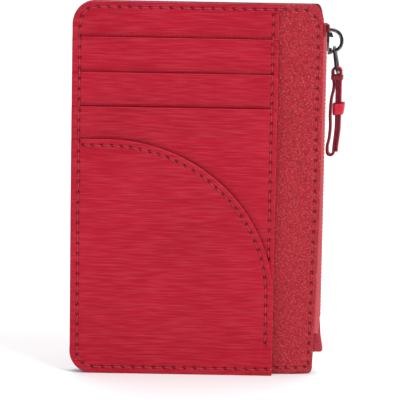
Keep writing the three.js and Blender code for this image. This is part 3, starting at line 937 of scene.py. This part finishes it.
def beside_mouth(mouth):
    """The painted shade on a leather beside the mouth at a height."""
    return lambda x, z: mouth_painted_shade(x, np.abs(z - mouth))


# Painted shade beside the curved pocket's free edge
def beside_pocket(x, z):
    return mouth_painted_shade(x, np.abs(edge_gap(x, z))) * ramp(z, POCKET_SHOULDER - 2, POCKET_SHOULDER + 6)


def middle_back(x, z):
    return middle_plain(x * 0, z) + SLOT_THICK


def bottom_back(x, z):
    return bottom_plain(x * 0, z) + SLOT_THICK


def add_slots():
    for place, box, corner, outer, lip, back, marks, pad in (
        ("top", TOP_SLOT, 0, top_face, top_face, level(TOP_SLOT[1][1]), beside_mouth(MIDDLE_SLOT[1][2]), 0),
        ("middle", MIDDLE_SLOT, 0, middle_face, middle_face, middle_back, beside_mouth(BOTTOM_SLOT[1][2]), 0),
        ("bottom", BOTTOM_SLOT, CORNER, bottom_dipped, bottom_face, bottom_back, beside_pocket, 0.04),
    ):
        shape = slab(
            slot_loop(box, corner), streaked(outer), behind_lip(back, lip), SLOT_RADIUS, FINE,
            seams=LAPPED_SEAMS, marks=marks, pad=pad, trim=highlight_top(box),
        )
        node = f"slot_panel_{place}"
        piece(f"slot_{place}_leather", shape, LEATHERS, stands_for=[node])


def behind_lip(back, face):
    """A leather's back, kept behind its face where the lip is pressed thin."""
    return lambda x, z: np.maximum(back(x, z), face(x, z) + 0.05)


def add_pocket():
    shape = slab(
        POCKET_LOOP, streaked(pocket_face), behind_lip(level(POCKET[1][1]), pocket_face), 0.24, FINE,
        seams=[FRONT_SEAM, POCKET_SEAM], pad=0.07, trim=highlight_curve,
    )
    piece("pocket_leather", shape, LEATHERS, stands_for=["curved_pocket"])


def swell(x, z):
    """How far the back stands off, from 0 at its stitched edges to 1 along the zip."""
    across = (x - LEFT) / (RIGHT - LEFT)
    up = np.clip(z / HEIGHT, 0, 1)
    return np.sin(math.pi / 2 * across) * (1 - np.abs(2 * up - 1) ** (6 + 18 * across**2))


SWELL = BACK[1][1] - BACK[0][1] - BACK_THICK
BACK_LOOP = rounded(LEFT, RIGHT, 0, HEIGHT, bl=CORNER, br=TAIL_CORNER, tr=BACK_TOP, tl=CORNER)


def back_face(x, z):
    return BACK[0][1] + BACK_THICK + SWELL * swell(x, z)


def add_back():
    shape = slab(
        BACK_LOOP, streaked(back_face, side=1), lambda x, z: back_face(x, z) - BACK_THICK, PANEL_RADIUS,
        COARSE, 2.0, seams=[BACK_SEAM], pad=0.07, trim=turned_right,
    )
    piece("back_leather", shape, LEATHERS, stands_for=["back_panel"])


CLOTH = 0.25  # thickness of the back lining


def add_lining(name, shape, node):
    """A sheet of cloth, standing for its CAD node."""
    sheet = piece(name, shape, (LINING, LINING), stands_for=[node])


def add_linings():
    inset_by, top = 0.3, HEIGHT - 0.3
    loop = rounded(LEFT + inset_by, FRONT_LINING[1][0], inset_by, top, bl=6.5, tl=6.5, step=1.2)
    low, high = FRONT_LINING[0][1], FRONT_LINING[1][1]
    back_low, back_high = (corner[1] for corner in cad("back_lining"))
    lining_swell = back_high - back_low - CLOTH

    def wave(x, z):
        return 0.02 * np.sin(x * 0.8) * np.sin(z * 0.45)

    def back_outer(x, z):
        share = swell(x, z) / swell(FRONT_LINING[1][0], HEIGHT / 2)
        return back_low + CLOTH + lining_swell * share + wave(x, z)

    front = slab(loop, lambda x, z: low + wave(x, z), lambda x, z: high + wave(x, z), 0.06, (2, 2), 2.0)
    add_lining("lining_front", front, "front_lining")
    back = slab(loop, back_outer, lambda x, z: back_outer(x, z) - CLOTH, 0.06, (2, 2), 2.0)
    add_lining("lining_back", back, "back_lining")

    for name, node in (("lining_slot_top", "slot_lining_top"), ("lining_slot_middle", "slot_lining_middle")):
        lo, hi = cad(node)
        loop = rounded(lo[0], hi[0], lo[2], hi[2], step=1.2)
        shape = slab(loop, level(lo[1]), level(hi[1]), 0.05, (2.5, 2.5), 2.5)
        add_lining(name, shape, node)


def add_sewing():
    for name, sewn, surface, side, is_closed in (
        ("front", FRONT_SEAM, front_face, -1, True),
        ("seam", BAND_SEAM, front_face, -1, False),
        ("pocket", POCKET_SEAM, front_face, -1, False),
        ("back", BACK_SEAM, back_face, 1, True),
    ):
        shape = stitches(sewn.holes, surface, side, is_closed)
        piece(f"stitches_{name}", shape, (THREAD,))


# ---------------- the zip

TAPE_EDGE = TAPE[1][0] - 0.15  # middle of the tape's turned edge
TAPE_THICK, TAPE_BEND = 0.3, 0.55  # the bend is its radius at the turn
TAPE_FOOT = 12.5  # below this the tail covers the front tape
CHAIN_HALF = (CHAIN[1][1] - CHAIN[0][1]) / 2
TEETH_IN_TRAVEL = 62
CHAIN_GIVE = 0.7  # the chain is stiffer than the leathers, and leans less


def ribbon(lines, thickness):
    """A strip through rows of points, one row for each level, with a rounded bead along its last edge."""
    lines = np.array(lines)
    steps = np.gradient(lines, axis=1)
    across = np.stack([-steps[..., 1], steps[..., 0], steps[..., 2] * 0], 2)
    across /= np.linalg.norm(across, axis=2)[..., None]
    bead = bell(np.arange(lines.shape[1]) - lines.shape[1] + 1.5, 1.3)
    swollen = thickness / 2 * (1 + 0.5 * bead)[None, :, None]
    rings = np.concatenate([lines - across * swollen, (lines + across * swollen)[:, ::-1]], axis=1)
    levels, around = rings.shape[:2]
    faces = ring_faces(levels, around)
    for i in (0, levels - 1):
        faces += [[i * around + k, i * around + k + 1, (i + 1) * around - k - 2, (i + 1) * around - k - 1]
                  for k in range(around // 2 - 1)]
    return Shape().add(rings.reshape(-1, 3), faces)


def tape_rows(levels, sewn_y, edge_y):
    """The tape lies flat where it's sewn in, turns at the leather's edge, and ends at the teeth."""
    rows = []
    for z in levels:
        y0, y1 = sewn_y(z), edge_y
        turn = math.copysign(1, y1 - y0)
        bend = [(TAPE_EDGE - TAPE_BEND * (1 - math.sin(a)), y0 + turn * TAPE_BEND * (1 - math.cos(a)))
                for a in np.linspace(0, math.pi / 2, 9)]
        swollen = [0.45 * bell(abs(y - y0) - 0.22, 0.2) if edge_y < ZIP_Y else 0 for _, y in bend]
        bend = [(x + more, y) for (x, y), more in zip(bend, swollen)]
        flat = [(x, y0) for x in np.linspace(TAPE[0][0], TAPE_EDGE - 1.0, 4)]
        turned_y = y0 + turn * TAPE_BEND
        end = [(TAPE_EDGE, turned_y + (y1 - turned_y) * t) for t in np.linspace(0.3, 1, 4)]
        rows.append([(x, y, z) for x, y in flat + bend + end])
    return rows


def tooth_loop(side, z):
    """One turn of the coil: a flat loop of nylon from its row's outer edge past the chain's middle."""
    wire = 0.17
    x0, x1 = CHAIN[0][0] + wire, CHAIN[1][0] - wire
    outer, tip = ZIP_Y + side * (CHAIN_HALF - wire), ZIP_Y - side * 0.62
    low, high = sorted((outer, tip))
    loop = rounded(x0, x1, low, high, 0.4, 0.4, 0.4, 0.4, step=0.45)
    head = 1 + 0.3 * bell(loop[:, 1] - tip, 0.5)
    lean = 0.1 * side * (loop[:, 0] - (x0 + x1) / 2)
    return tube(np.stack([loop[:, 0], loop[:, 1], z + lean], 1), wire, 6, True, head)


def add_chain():
    bottom, top = CHAIN[0][2], CHAIN[1][2]
    pitch = SLIDER_TRAVEL / TEETH_IN_TRAVEL
    for side, name in ((-1, "front"), (1, "back")):
        shape = Shape()
        first = bottom + 0.55 + (pitch / 2 if side > 0 else 0)
        cord = Shape()
        y = ZIP_Y + side * (CHAIN_HALF - 0.75)
        for z in np.arange(first, top - 0.2, pitch):
            shape.add(*tooth_loop(side, z))
            lashing = line((CHAIN[0][0] + 0.1, y + side * 0.4), (CHAIN[1][0] - 0.1, y + side * 0.4), 0.3)
            cord.add(*tube(np.column_stack([lashing, np.full(len(lashing), z + pitch / 2)]), 0.13, 6))
        node = f"zip_teeth_{name}"
        piece(f"zip_coil_{name}", shape, (NYLON,), stands_for=[node], give=CHAIN_GIVE)
        levels = np.linspace(bottom, top, 90)
        cord.add(*tube([(CHAIN[0][0] + 0.6, y, z) for z in levels], 0.34, 8))
        levels = np.arange(bottom, top, pitch / 4)
        wave = 0.09 * np.cos(2 * math.pi * (levels - first) / pitch)
        cord.add(*tube(np.stack([CHAIN[0][0] + 0.05 + 0 * levels, y + side * 0.3 + wave, levels], 1), 0.1, 6))
        piece(f"zip_cord_{name}", cord, (WEBBING,), give=CHAIN_GIVE)


def add_tapes():
    half = CHAIN_HALF - 0.12
    front_y = TAPE[0][1] + TAPE_THICK / 2
    back_low, back_high = cad("zip_tape_back")

    def sewn_front(z):
        return front_y

    def sewn_back(z):
        return back_face(36.0, z) - BACK_THICK - CLOTH - 0.5 * ramp(abs(z - HEIGHT / 2), 40, HEIGHT / 2)

    for name, bottom, top, sewn, edge_y in (
        ("front", TAPE_FOOT, TAPE[1][2], sewn_front, ZIP_Y - half),
        ("back", back_low[2], back_high[2], sewn_back, ZIP_Y + half),
    ):
        shape = ribbon(tape_rows(np.linspace(bottom, top, 140), sewn, edge_y), TAPE_THICK)
        node = f"zip_tape_{name}"
        piece(f"{node}_woven", shape, (WEBBING,), stands_for=[node], give=CHAIN_GIVE)


def add_stops():
    for node in ("zip_top_stop_front", "zip_top_stop_back", "zip_bottom_stop"):
        low, high = cad(node)
        shape = Shape().add(*soft_box(low, high - np.array([0.2, 0, 0]), 0.22))
        piece(node + "_moulded", shape, (NYLON,), stands_for=[node], give=CHAIN_GIVE)


def folded_end(low, high):
    """The tape's end, turned over on itself: an arch, with a near-black box in its hollow as painted shade.
    """
    thick = 0.5
    high = high - np.array([0.1, 0, 0.25])
    middle, radius = (low[0] + high[0]) / 2, (high[0] - low[0] - thick) / 2
    y, width = (low[1] + high[1]) / 2, high[1] - low[1]
    section = rounded(-width / 2, width / 2, -thick / 2, thick / 2, 0.2, 0.2, 0.2, 0.2, step=0.3)
    turn = high[2] - radius - thick / 2
    path = np.vstack([
        line((middle - radius, low[2] - 0.8), (middle - radius, turn), 0.4),
        arc((middle, turn), (radius, radius), 180, 0, 0.15),
        line((middle + radius, turn), (middle + radius, low[2] + 0.2), 0.4),
    ])
    verts, faces = sweep(np.stack([path[:, 0], np.full(len(path), y), path[:, 1]], 1), section[:, ::-1])
    # The box fills the arch's hollow, as painted shade there
    core_low = (middle - radius, low[1] + 0.15, low[2] + 0.2)
    core_high = (middle + radius, high[1] - 0.15, high[2] - thick)
    return Shape().add(verts, faces).add(*soft_box(core_low, core_high, 0.15), paint=1)


TAIL_SPREAD = np.array([0.4, 0, 0]), np.array([0.5, 0, 0])  # the soft tail goes a little past its solid


def add_ends():
    for node in ("zip_head_tab_front", "zip_head_tab_back"):
        piece(node + "_fold", folded_end(*cad(node)), (TAPE_END, FOLD_SHADE), stands_for=[node], give=0)
    low, high = cad("zip_tail_tab")
    low, high = low - TAIL_SPREAD[0], high + TAIL_SPREAD[1]
    outline = np.vstack([
        line((low[0], low[2] + 0.3), (low[0] + 0.3, low[2])),
        line((low[0] + 0.3, low[2]), (high[0] - 0.8, low[2])),
        arc((high[0] - 0.85, low[2] + 0.85), (0.85, 0.85), -90, 20, 0.2),
        line((high[0], low[2] + 1.4), (high[0] - 0.7, low[2] + 5.5), 0.5),
        line((high[0] - 0.7, low[2] + 5.5), (high[0] - 1.1, high[2]), 0.5),
        line((high[0] - 1.1, high[2]), (low[0], high[2]), 0.5),
        line((low[0], high[2]), (low[0], low[2] + 0.3), 0.6),
    ])
    shape = slab(
        outline, level(low[1]), level(high[1]), 0.5, (0.5, 0.5), 0.5, bulge=0.06,
        trim=lambda x, z: np.zeros(len(x), int),
    )
    piece("zip_tail_leather", shape, (TAIL,), stands_for=["zip_tail_tab"], give=0)


# ---------------- the slider and its pull

BRIDGE_X = SLIDER[1][0] + 0.05
BRIDGE_REACH, BRIDGE_HALF, BRIDGE_WIRE = 3.76, 3.3, 0.54
SLIDER_MIDDLE = (SLIDER[0][2] + SLIDER[1][2]) / 2
METALS = (METAL, METAL)


WING, WING_SHOULDER, WING_TOE = 0.45, 1.3, 0.8  # thickness of the inner wing, and both corners' radii
CHAIN_GAP = 37.62, 38.38  # X of the slot that the tapes run through


def wing_outline():
    """A shield: broad above, where the rows part, and narrower below, with rounded corners."""
    low, high = SLIDER[0][1:], SLIDER[1][1:]
    half = (high[0] - low[0]) / 2
    foot = half - 0.35
    toe_z, waist_z, shoulder_z = low[1] + WING_TOE, low[1] + 4.4, high[1] - WING_SHOULDER
    toe, shoulder = foot - WING_TOE, half - WING_SHOULDER
    toes, shoulders = (WING_TOE, WING_TOE), (WING_SHOULDER, WING_SHOULDER)
    return np.vstack([
        line((ZIP_Y - toe, low[1]), (ZIP_Y + toe, low[1]), 0.5),
        arc((ZIP_Y + toe, toe_z), toes, -90, 0, 0.2),
        line((ZIP_Y + foot, toe_z), (ZIP_Y + half, waist_z), 0.5),
        line((ZIP_Y + half, waist_z), (ZIP_Y + half, shoulder_z), 0.5),
        arc((ZIP_Y + shoulder, shoulder_z), shoulders, 0, 90, 0.25),
        line((ZIP_Y + shoulder, high[1]), (ZIP_Y - shoulder, high[1]), 0.5),
        arc((ZIP_Y - shoulder, shoulder_z), shoulders, 90, 180, 0.25),
        line((ZIP_Y - half, shoulder_z), (ZIP_Y - half, waist_z), 0.5),
        line((ZIP_Y - half, waist_z), (ZIP_Y - foot, toe_z), 0.5),
        arc((ZIP_Y - toe, toe_z), toes, 180, 270, 0.2),
    ])


def plate(outline, outer, inner, radius, spacing=0.8, bulge=0.02):
    """A plate of the slider, cut to an outline in the YZ plane."""
    faces = level(outer), level(inner)
    return slab(outline, *faces, radius, (spacing, spacing), spacing, plane="side", bulge=bulge)


def add_slider():
    (x0, y0, bottom), (x1, y1, top) = SLIDER
    body = plate(wing_outline(), x1, x1 - 0.34, 0.14)
    body.join(plate(wing_outline(), x0, x0 + WING, 0.16))
    divider = [(0, -2.8), (1.05, -1.7), (0.8, -0.2), (-0.8, -0.2), (-1.05, -1.7)]
    divider = spaced(closed(np.array(divider) + (ZIP_Y, top)), 0.4, whole=False)
    body.join(plate(divider, x1 - 0.3, x0 + 0.3, 0.05, 0.6, 0.0))
    half = (y1 - y0) / 2
    for side in (-1, 1):
        near, far = sorted((ZIP_Y + side * 2.35, ZIP_Y + side * (half - 0.02)))
        for start, end in ((x0 + 0.2, CHAIN_GAP[0]), (CHAIN_GAP[1], x1 - 0.2)):
            body.add(*soft_box((start, near, bottom + 1.1), (end, far, top - 1.3), 0.12))
    piece("slider_shell", body, METALS, "zip_slider", ["slider_body"])


def on_bridge(angles):
    """Points of the bridge's middle line, a D a little squarer than half an ellipse."""
    x = BRIDGE_X + BRIDGE_REACH * np.maximum(np.cos(angles), 0) ** 0.8
    return np.stack([x, np.full(len(x), ZIP_Y), SLIDER_MIDDLE + BRIDGE_HALF * np.sin(angles)], 1)


def add_bridge():
    path = on_bridge(np.radians(np.linspace(-88, 88, 60)))
    path[:, 0] += 0.12 * bell(path[:, 2] - SLIDER_MIDDLE + 1.6, 1.2)
    section = rounded(-BRIDGE_WIRE, BRIDGE_WIRE, -BRIDGE_WIRE, BRIDGE_WIRE, *(0.4,) * 4, step=0.2)
    shape = Shape().add(*sweep(path, section))
    foot, head = SLIDER[0][2], SLIDER_MIDDLE + BRIDGE_HALF
    lugs = (0.85, 0.75, foot, foot + 1.9, 0.22), (0.55, 0.6, head - 0.6, head + 0.5, 0.2)
    for reach, half, bottom, top, radius in lugs:
        low, high = (BRIDGE_X - 0.04, ZIP_Y - half, bottom), (BRIDGE_X + reach, ZIP_Y + half, top)
        shape.add(*soft_box(low, high, radius))
    piece("slider_bow", shape, METALS, "zip_slider", ["slider_bridge"])
    low, high = cad("slider_lock_pin")
    pin = np.array([(low[0], low[2] + 0.1), (high[0], low[2]), (high[0] - 0.5, high[2]), (low[0], high[2])])
    pin = spaced(closed(pin), 0.16, whole=False)
    shape = slab(pin, level(low[1]), level(high[1]), 0.08, (0.2, 0.2), 0.2, bulge=0.02)
    piece("slider_pin", shape, METALS, "zip_slider", ["slider_lock_pin"])


LINK_ANGLE, LINK_TILT = math.radians(-67.2), math.radians(8.85)
LINK_WIRE = 0.38
LINK_LENGTH = 6.44
LINK_HANG = on_bridge(np.array([LINK_ANGLE]))[0]
LINK_DOWN = np.array([math.sin(LINK_TILT), 0, -math.cos(LINK_TILT)])
LINK_BAR = LINK_HANG + LINK_LENGTH * LINK_DOWN
LINK_YAW = math.radians(14)  # the link hangs a little turned about its own length


def add_link():
    half, corner, top = 2.05, 0.6, 1.15
    flat = np.vstack([
        arc((0, 0), (top, top), 180, 0, 0.2),
        line((top, 0), (half, corner - LINK_LENGTH), 0.35),
        arc((half - corner, corner - LINK_LENGTH), (corner, corner), 0, -90, 0.12),
        line((half - corner, -LINK_LENGTH), (corner - half, -LINK_LENGTH), 0.35),
        arc((corner - half, corner - LINK_LENGTH), (corner, corner), -90, -180, 0.12),
        line((-half, corner - LINK_LENGTH), (-top, 0), 0.35),
    ])
    yaw = LINK_YAW * ramp(-flat[:, 1], LINK_LENGTH + 1.5, LINK_LENGTH - 2.5)
    out = np.cross(LINK_DOWN, [0, 1, 0])
    path = LINK_HANG - flat[:, 1:] * LINK_DOWN + (flat[:, 0] * np.cos(yaw))[:, None] * np.array([0, 1, 0])
    path = path + (flat[:, 0] * np.sin(yaw))[:, None] * out
    shape = Shape().add(*tube(path, LINK_WIRE, 12, True))
    piece("link_wire", shape, METALS, "pull_link", ["pull_link"])


def bezier(a, b, c, d, count=12):
    t = (np.arange(count) / count)[:, None]
    a, b, c, d = (np.array(p, float) for p in (a, b, c, d))
    return (1 - t) ** 3 * a + 3 * (1 - t) ** 2 * t * b + 3 * (1 - t) * t**2 * c + t**3 * d


def through(points, count=5):
    """A smooth curve through points, ready for what follows its last one."""
    points = np.array(points, float)
    ends = np.vstack([points[:1], points, points[-1:]])
    t = (np.arange(count) / count)[:, None]
    found = []
    for p0, p1, p2, p3 in zip(ends, ends[1:], ends[2:], ends[3:]):
        v0, v1 = (p2 - p0) / 2, (p3 - p1) / 2
        cubic, square = 2 * p1 - 2 * p2 + v0 + v1, 3 * p2 - 3 * p1 - 2 * v0 - v1
        found.append(cubic * t**3 + square * t**2 + v0 * t + p1)
    return np.vstack(found)


OUTER_STRAND, INNER_STRAND = 43.05, 42.12
STRAP_YAW = math.radians(9)  # the strap hangs a little turned


def turned(verts):
    """Turns the strap's verts about the upright line through the link's bar."""
    across, deep = verts[:, 0] - LINK_BAR[0], verts[:, 1] - ZIP_Y
    x = LINK_BAR[0] + across * math.cos(STRAP_YAW) + deep * math.sin(STRAP_YAW)
    y = ZIP_Y - across * math.sin(STRAP_YAW) + deep * math.cos(STRAP_YAW)
    return np.stack([x, y, verts[:, 2]], 1)


def strap_path():
    """The strap's route, from its loose tail up, over the link's bar, down to a loop, and up again."""
    fold, r = (LINK_BAR[0] - 0.2, LINK_BAR[2] + 0.15), 1.22
    loop, s = (40.53, 67.8), 0.97
    down = [
        (fold[0] - r, fold[1]), (40.78, 90.8), (41.12, 88.9), (41.1, 87), (40.58, 84.6), (40.3, 82),
        (40.2, 79), (40.33, 75.6), (40.06, 72), (loop[0] - s, 69.6), (loop[0] - s, loop[1]),
    ]
    return np.vstack([
        bezier((42.35, 68), (42.4, 71), (OUTER_STRAND, 73), (OUTER_STRAND, 77)),
        line((OUTER_STRAND, 77), (OUTER_STRAND, 88.5), 0.8),
        bezier((OUTER_STRAND, 88.5), (OUTER_STRAND, 89.8), (fold[0] + r, 90.6), (fold[0] + r, fold[1]), 5),
        arc(fold, (r, r), 0, 180, 0.25),
        through(down),
        arc(loop, (s, s), 180, 360, 0.2),
        bezier((loop[0] + s, loop[1]), (loop[0] + s, 71), (INNER_STRAND, 73), (INNER_STRAND, 77), 12),
        line((INNER_STRAND, 77), (INNER_STRAND, 91.45), 0.8),
        [(INNER_STRAND, 91.45)],
    ])


def add_strap():
    low, high = cad("pull_strap")
    half, thick = (high[1] - low[1]) / 2, 0.8
    flat = strap_path()
    path = np.stack([flat[:, 0], np.full(len(flat), ZIP_Y), flat[:, 1]], 1)
    section = rounded(-thick / 2, thick / 2, -half, half, *(0.22,) * 4, step=0.4)
    verts, faces = sweep(path, section)
    paints = [int(abs(verts[face][:, 1].mean() - ZIP_Y) > half - 0.26) for face in faces]
    shape = Shape().add(turned(verts), faces, paints)
    piece("strap_strip", shape, (STRAP, STRAP_PAINT), "pull_strap", ["pull_strap"])


BINDING_Z, BINDING_HALF = 90.4, 0.7
BINDING_X = 40.45, 43.6


def add_binding():
    """A narrow strip bound once round the strands, close below the link."""
    low, high = cad("pull_strap")
    gap, thick = 0.28, 0.4
    loop = rounded(*BINDING_X, low[1] - gap, high[1] + gap, *(0.55,) * 4, step=0.3)
    path = np.column_stack([loop, np.full(len(loop), BINDING_Z)])
    section = rounded(-BINDING_HALF, BINDING_HALF, -thick / 2, thick / 2, *(0.15,) * 4, step=0.3)
    verts, faces = sweep(path, section, True)
    paints = [int(abs(verts[face][:, 2].mean() - BINDING_Z) > BINDING_HALF - 0.1) for face in faces]
    shape = Shape().add(turned(verts), faces, paints)
    piece("strap_binding", shape, (BOUND, STRAP_PAINT), "pull_strap")


def add_keeper():
    """A band of leather round the strap, with its corners softened."""
    low, high = KEEPER
    wall = 0.72
    levels = high[2] - low[2]
    loop = rounded(low[0], high[0], low[1], high[1], 1.5, 0.8, 0.95, 0.95, step=0.35)
    rim = 0.2
    turn = np.linspace(0, math.pi / 2, 4)
    rows = [(rim * (1 - math.sin(a)), low[2] + rim * (1 - math.cos(a))) for a in turn]
    upper = [(depth, high[2] - (z - low[2])) for depth, z in rows[::-1]]
    outer = rows + [(0, low[2] + levels * t) for t in (0.3, 0.5, 0.7)] + upper
    inner = [(wall, high[2] - 0.05), (wall, low[2] + 0.05)]
    rings = []
    for depth, z in outer + inner:
        crown = 0.1 * math.sin(math.pi * (z - low[2]) / levels) if depth < wall else 0
        flat = inset(loop, depth - crown)
        flare = 0.16 * np.clip(flat[:, 0] - high[0] + 1, 0, 1) * (2 * (z - low[2]) / levels - 1)
        slant = 0.12 * (flat[:, 0] - low[0] - 1.4)
        rings.append(np.column_stack([flat[:, 0] + flare, flat[:, 1], np.full(len(flat), z) + slant]))
    count, around = len(rings), len(loop)
    faces = ring_faces(count, around, True)
    rim_faces = {0, 1, 2, len(outer) - 4, len(outer) - 3, len(outer) - 2, len(outer) - 1, count - 1}
    paints = [int(i in rim_faces) for i in range(count) for _ in range(around)]
    shape = Shape().add(turned(np.vstack(rings)), faces, paints)
    piece("keeper_band", shape, (STRAP, STRAP_PAINT), "strap_keeper", ["strap_keeper"])


# ---------------- the whole

add_front_leathers()
add_slots()
add_pocket()
add_back()
add_linings()
add_sewing()
add_tapes()
add_chain()
add_stops()
add_ends()
add_slider()
add_bridge()
add_link()
add_strap()
add_binding()
add_keeper()

for slot in frame["nodes"]["front_board"].material_slots:
    slot.material = BOARD


# ---------------- camera, floor and light


def add_camera():
    """A long lens from in front and a little above, turned slightly about its own axis."""
    distance = 1000 * MM
    elevation, azimuth, roll = (math.radians(angle) for angle in (9.16, -0.24, 1.043))
    target = Vector((1.49, 2.0, 52.78)) * MM
    level_share = math.cos(elevation)
    back = Vector((math.sin(azimuth) * level_share, -math.cos(azimuth) * level_share, math.sin(elevation)))
    data = bpy.data.cameras.new("camera")
    data.sensor_width = 36
    data.lens = 298.9
    data.clip_start, data.clip_end = 0.05, 30
    camera = bpy.data.objects.new("camera", data)
    right = Vector((0, 0, 1)).cross(back).normalized()
    up = back.cross(right)
    x = math.cos(roll) * right + math.sin(roll) * up
    y = -math.sin(roll) * right + math.cos(roll) * up
    turned_to = Matrix((x, y, back)).transposed().to_4x4()
    camera.matrix_world = Matrix.Translation(target + back * distance) @ turned_to
    bpy.context.scene.collection.objects.link(camera)
    bpy.context.scene.camera = camera


def stage_sheet(name, corners, material):
    """A flat sheet of the studio, which isn't part of the object."""
    mesh = bpy.data.meshes.new(name)
    mesh.from_pydata(corners, [], [(0, 1, 2, 3)])
    mesh.materials.append(material)
    sheet = bpy.data.objects.new(name, mesh)
    bpy.context.scene.collection.objects.link(sheet)
    return sheet


def add_floor():
    """A pale flat floor."""
    size = 9.0
    look = Look("pale_floor", specular_ior_level=0.2)
    mottle = look.noise((0.01, 0.01, 0.01), 2.0)
    colour = look.mixed(mottle, (0.84, 0.84, 0.845), (0.865, 0.865, 0.87))
    material = look.finish(colour, look.spread(mottle, 0.3, 0.7, 0.7, 0.8))
    stage_sheet("floor", [(-size, -size, 0), (size, -size, 0), (size, size, 0), (-size, size, 0)], material)


def add_flag():
    """A black flag before the holder, which only its reflections see."""
    half, y, bottom, top = 0.7, -0.34, 0.004, 1.0
    look = Look("black_flag", specular_ior_level=0.0)
    cloth = look.noise((0.2, 0.2, 0.2), 2.0)
    material = look.finish(look.mixed(cloth, (0.01, 0.01, 0.01), (0.02, 0.02, 0.02)), 0.9)
    corners = [(-half, y, bottom), (half, y, bottom), (half, y, top), (-half, y, top)]
    flag = stage_sheet("flag", corners, material)
    flag.visible_camera = flag.visible_diffuse = flag.visible_shadow = flag.visible_transmission = False


def add_light(name, place, aim, size, power):
    data = bpy.data.lights.new(name, "AREA")
    data.shape = "RECTANGLE"
    data.size, data.size_y = size
    data.energy = power
    light = bpy.data.objects.new(name, data)
    light.location = place
    light.rotation_mode = "QUATERNION"
    light.rotation_quaternion = (Vector(aim) - Vector(place)).to_track_quat("-Z", "Y")
    light.visible_camera = False
    bpy.context.scene.collection.objects.link(light)


def add_lights():
    centre = (0, 0, 0.05)
    for name, place, aim, size, power in (
        ("key", (0.75, -0.75, 1.05), centre, (0.7, 0.7), 16.8),
        ("fill", (-0.9, -0.9, 0.7), centre, (1.0, 1.0), 6.0),
        ("top", (0.1, 0.35, 1.3), centre, (1.2, 1.2), 9.0),
        ("backdrop", (0.0, 1.0, 1.3), (0, 0.9, 0), (2.0, 1.2), 12.0),
    ):
        add_light(name, place, aim, size, power)
    world = bpy.data.worlds.new("studio")
    world.use_nodes = True
    sky = world.node_tree.nodes["Background"].inputs
    sky["Color"].default_value = (0.95, 0.96, 1.0, 1)
    sky["Strength"].default_value = 0.4
    bpy.context.scene.world = world
    bpy.context.scene.view_settings.view_transform = "Standard"


add_camera()
add_floor()
add_flag()
add_lights()
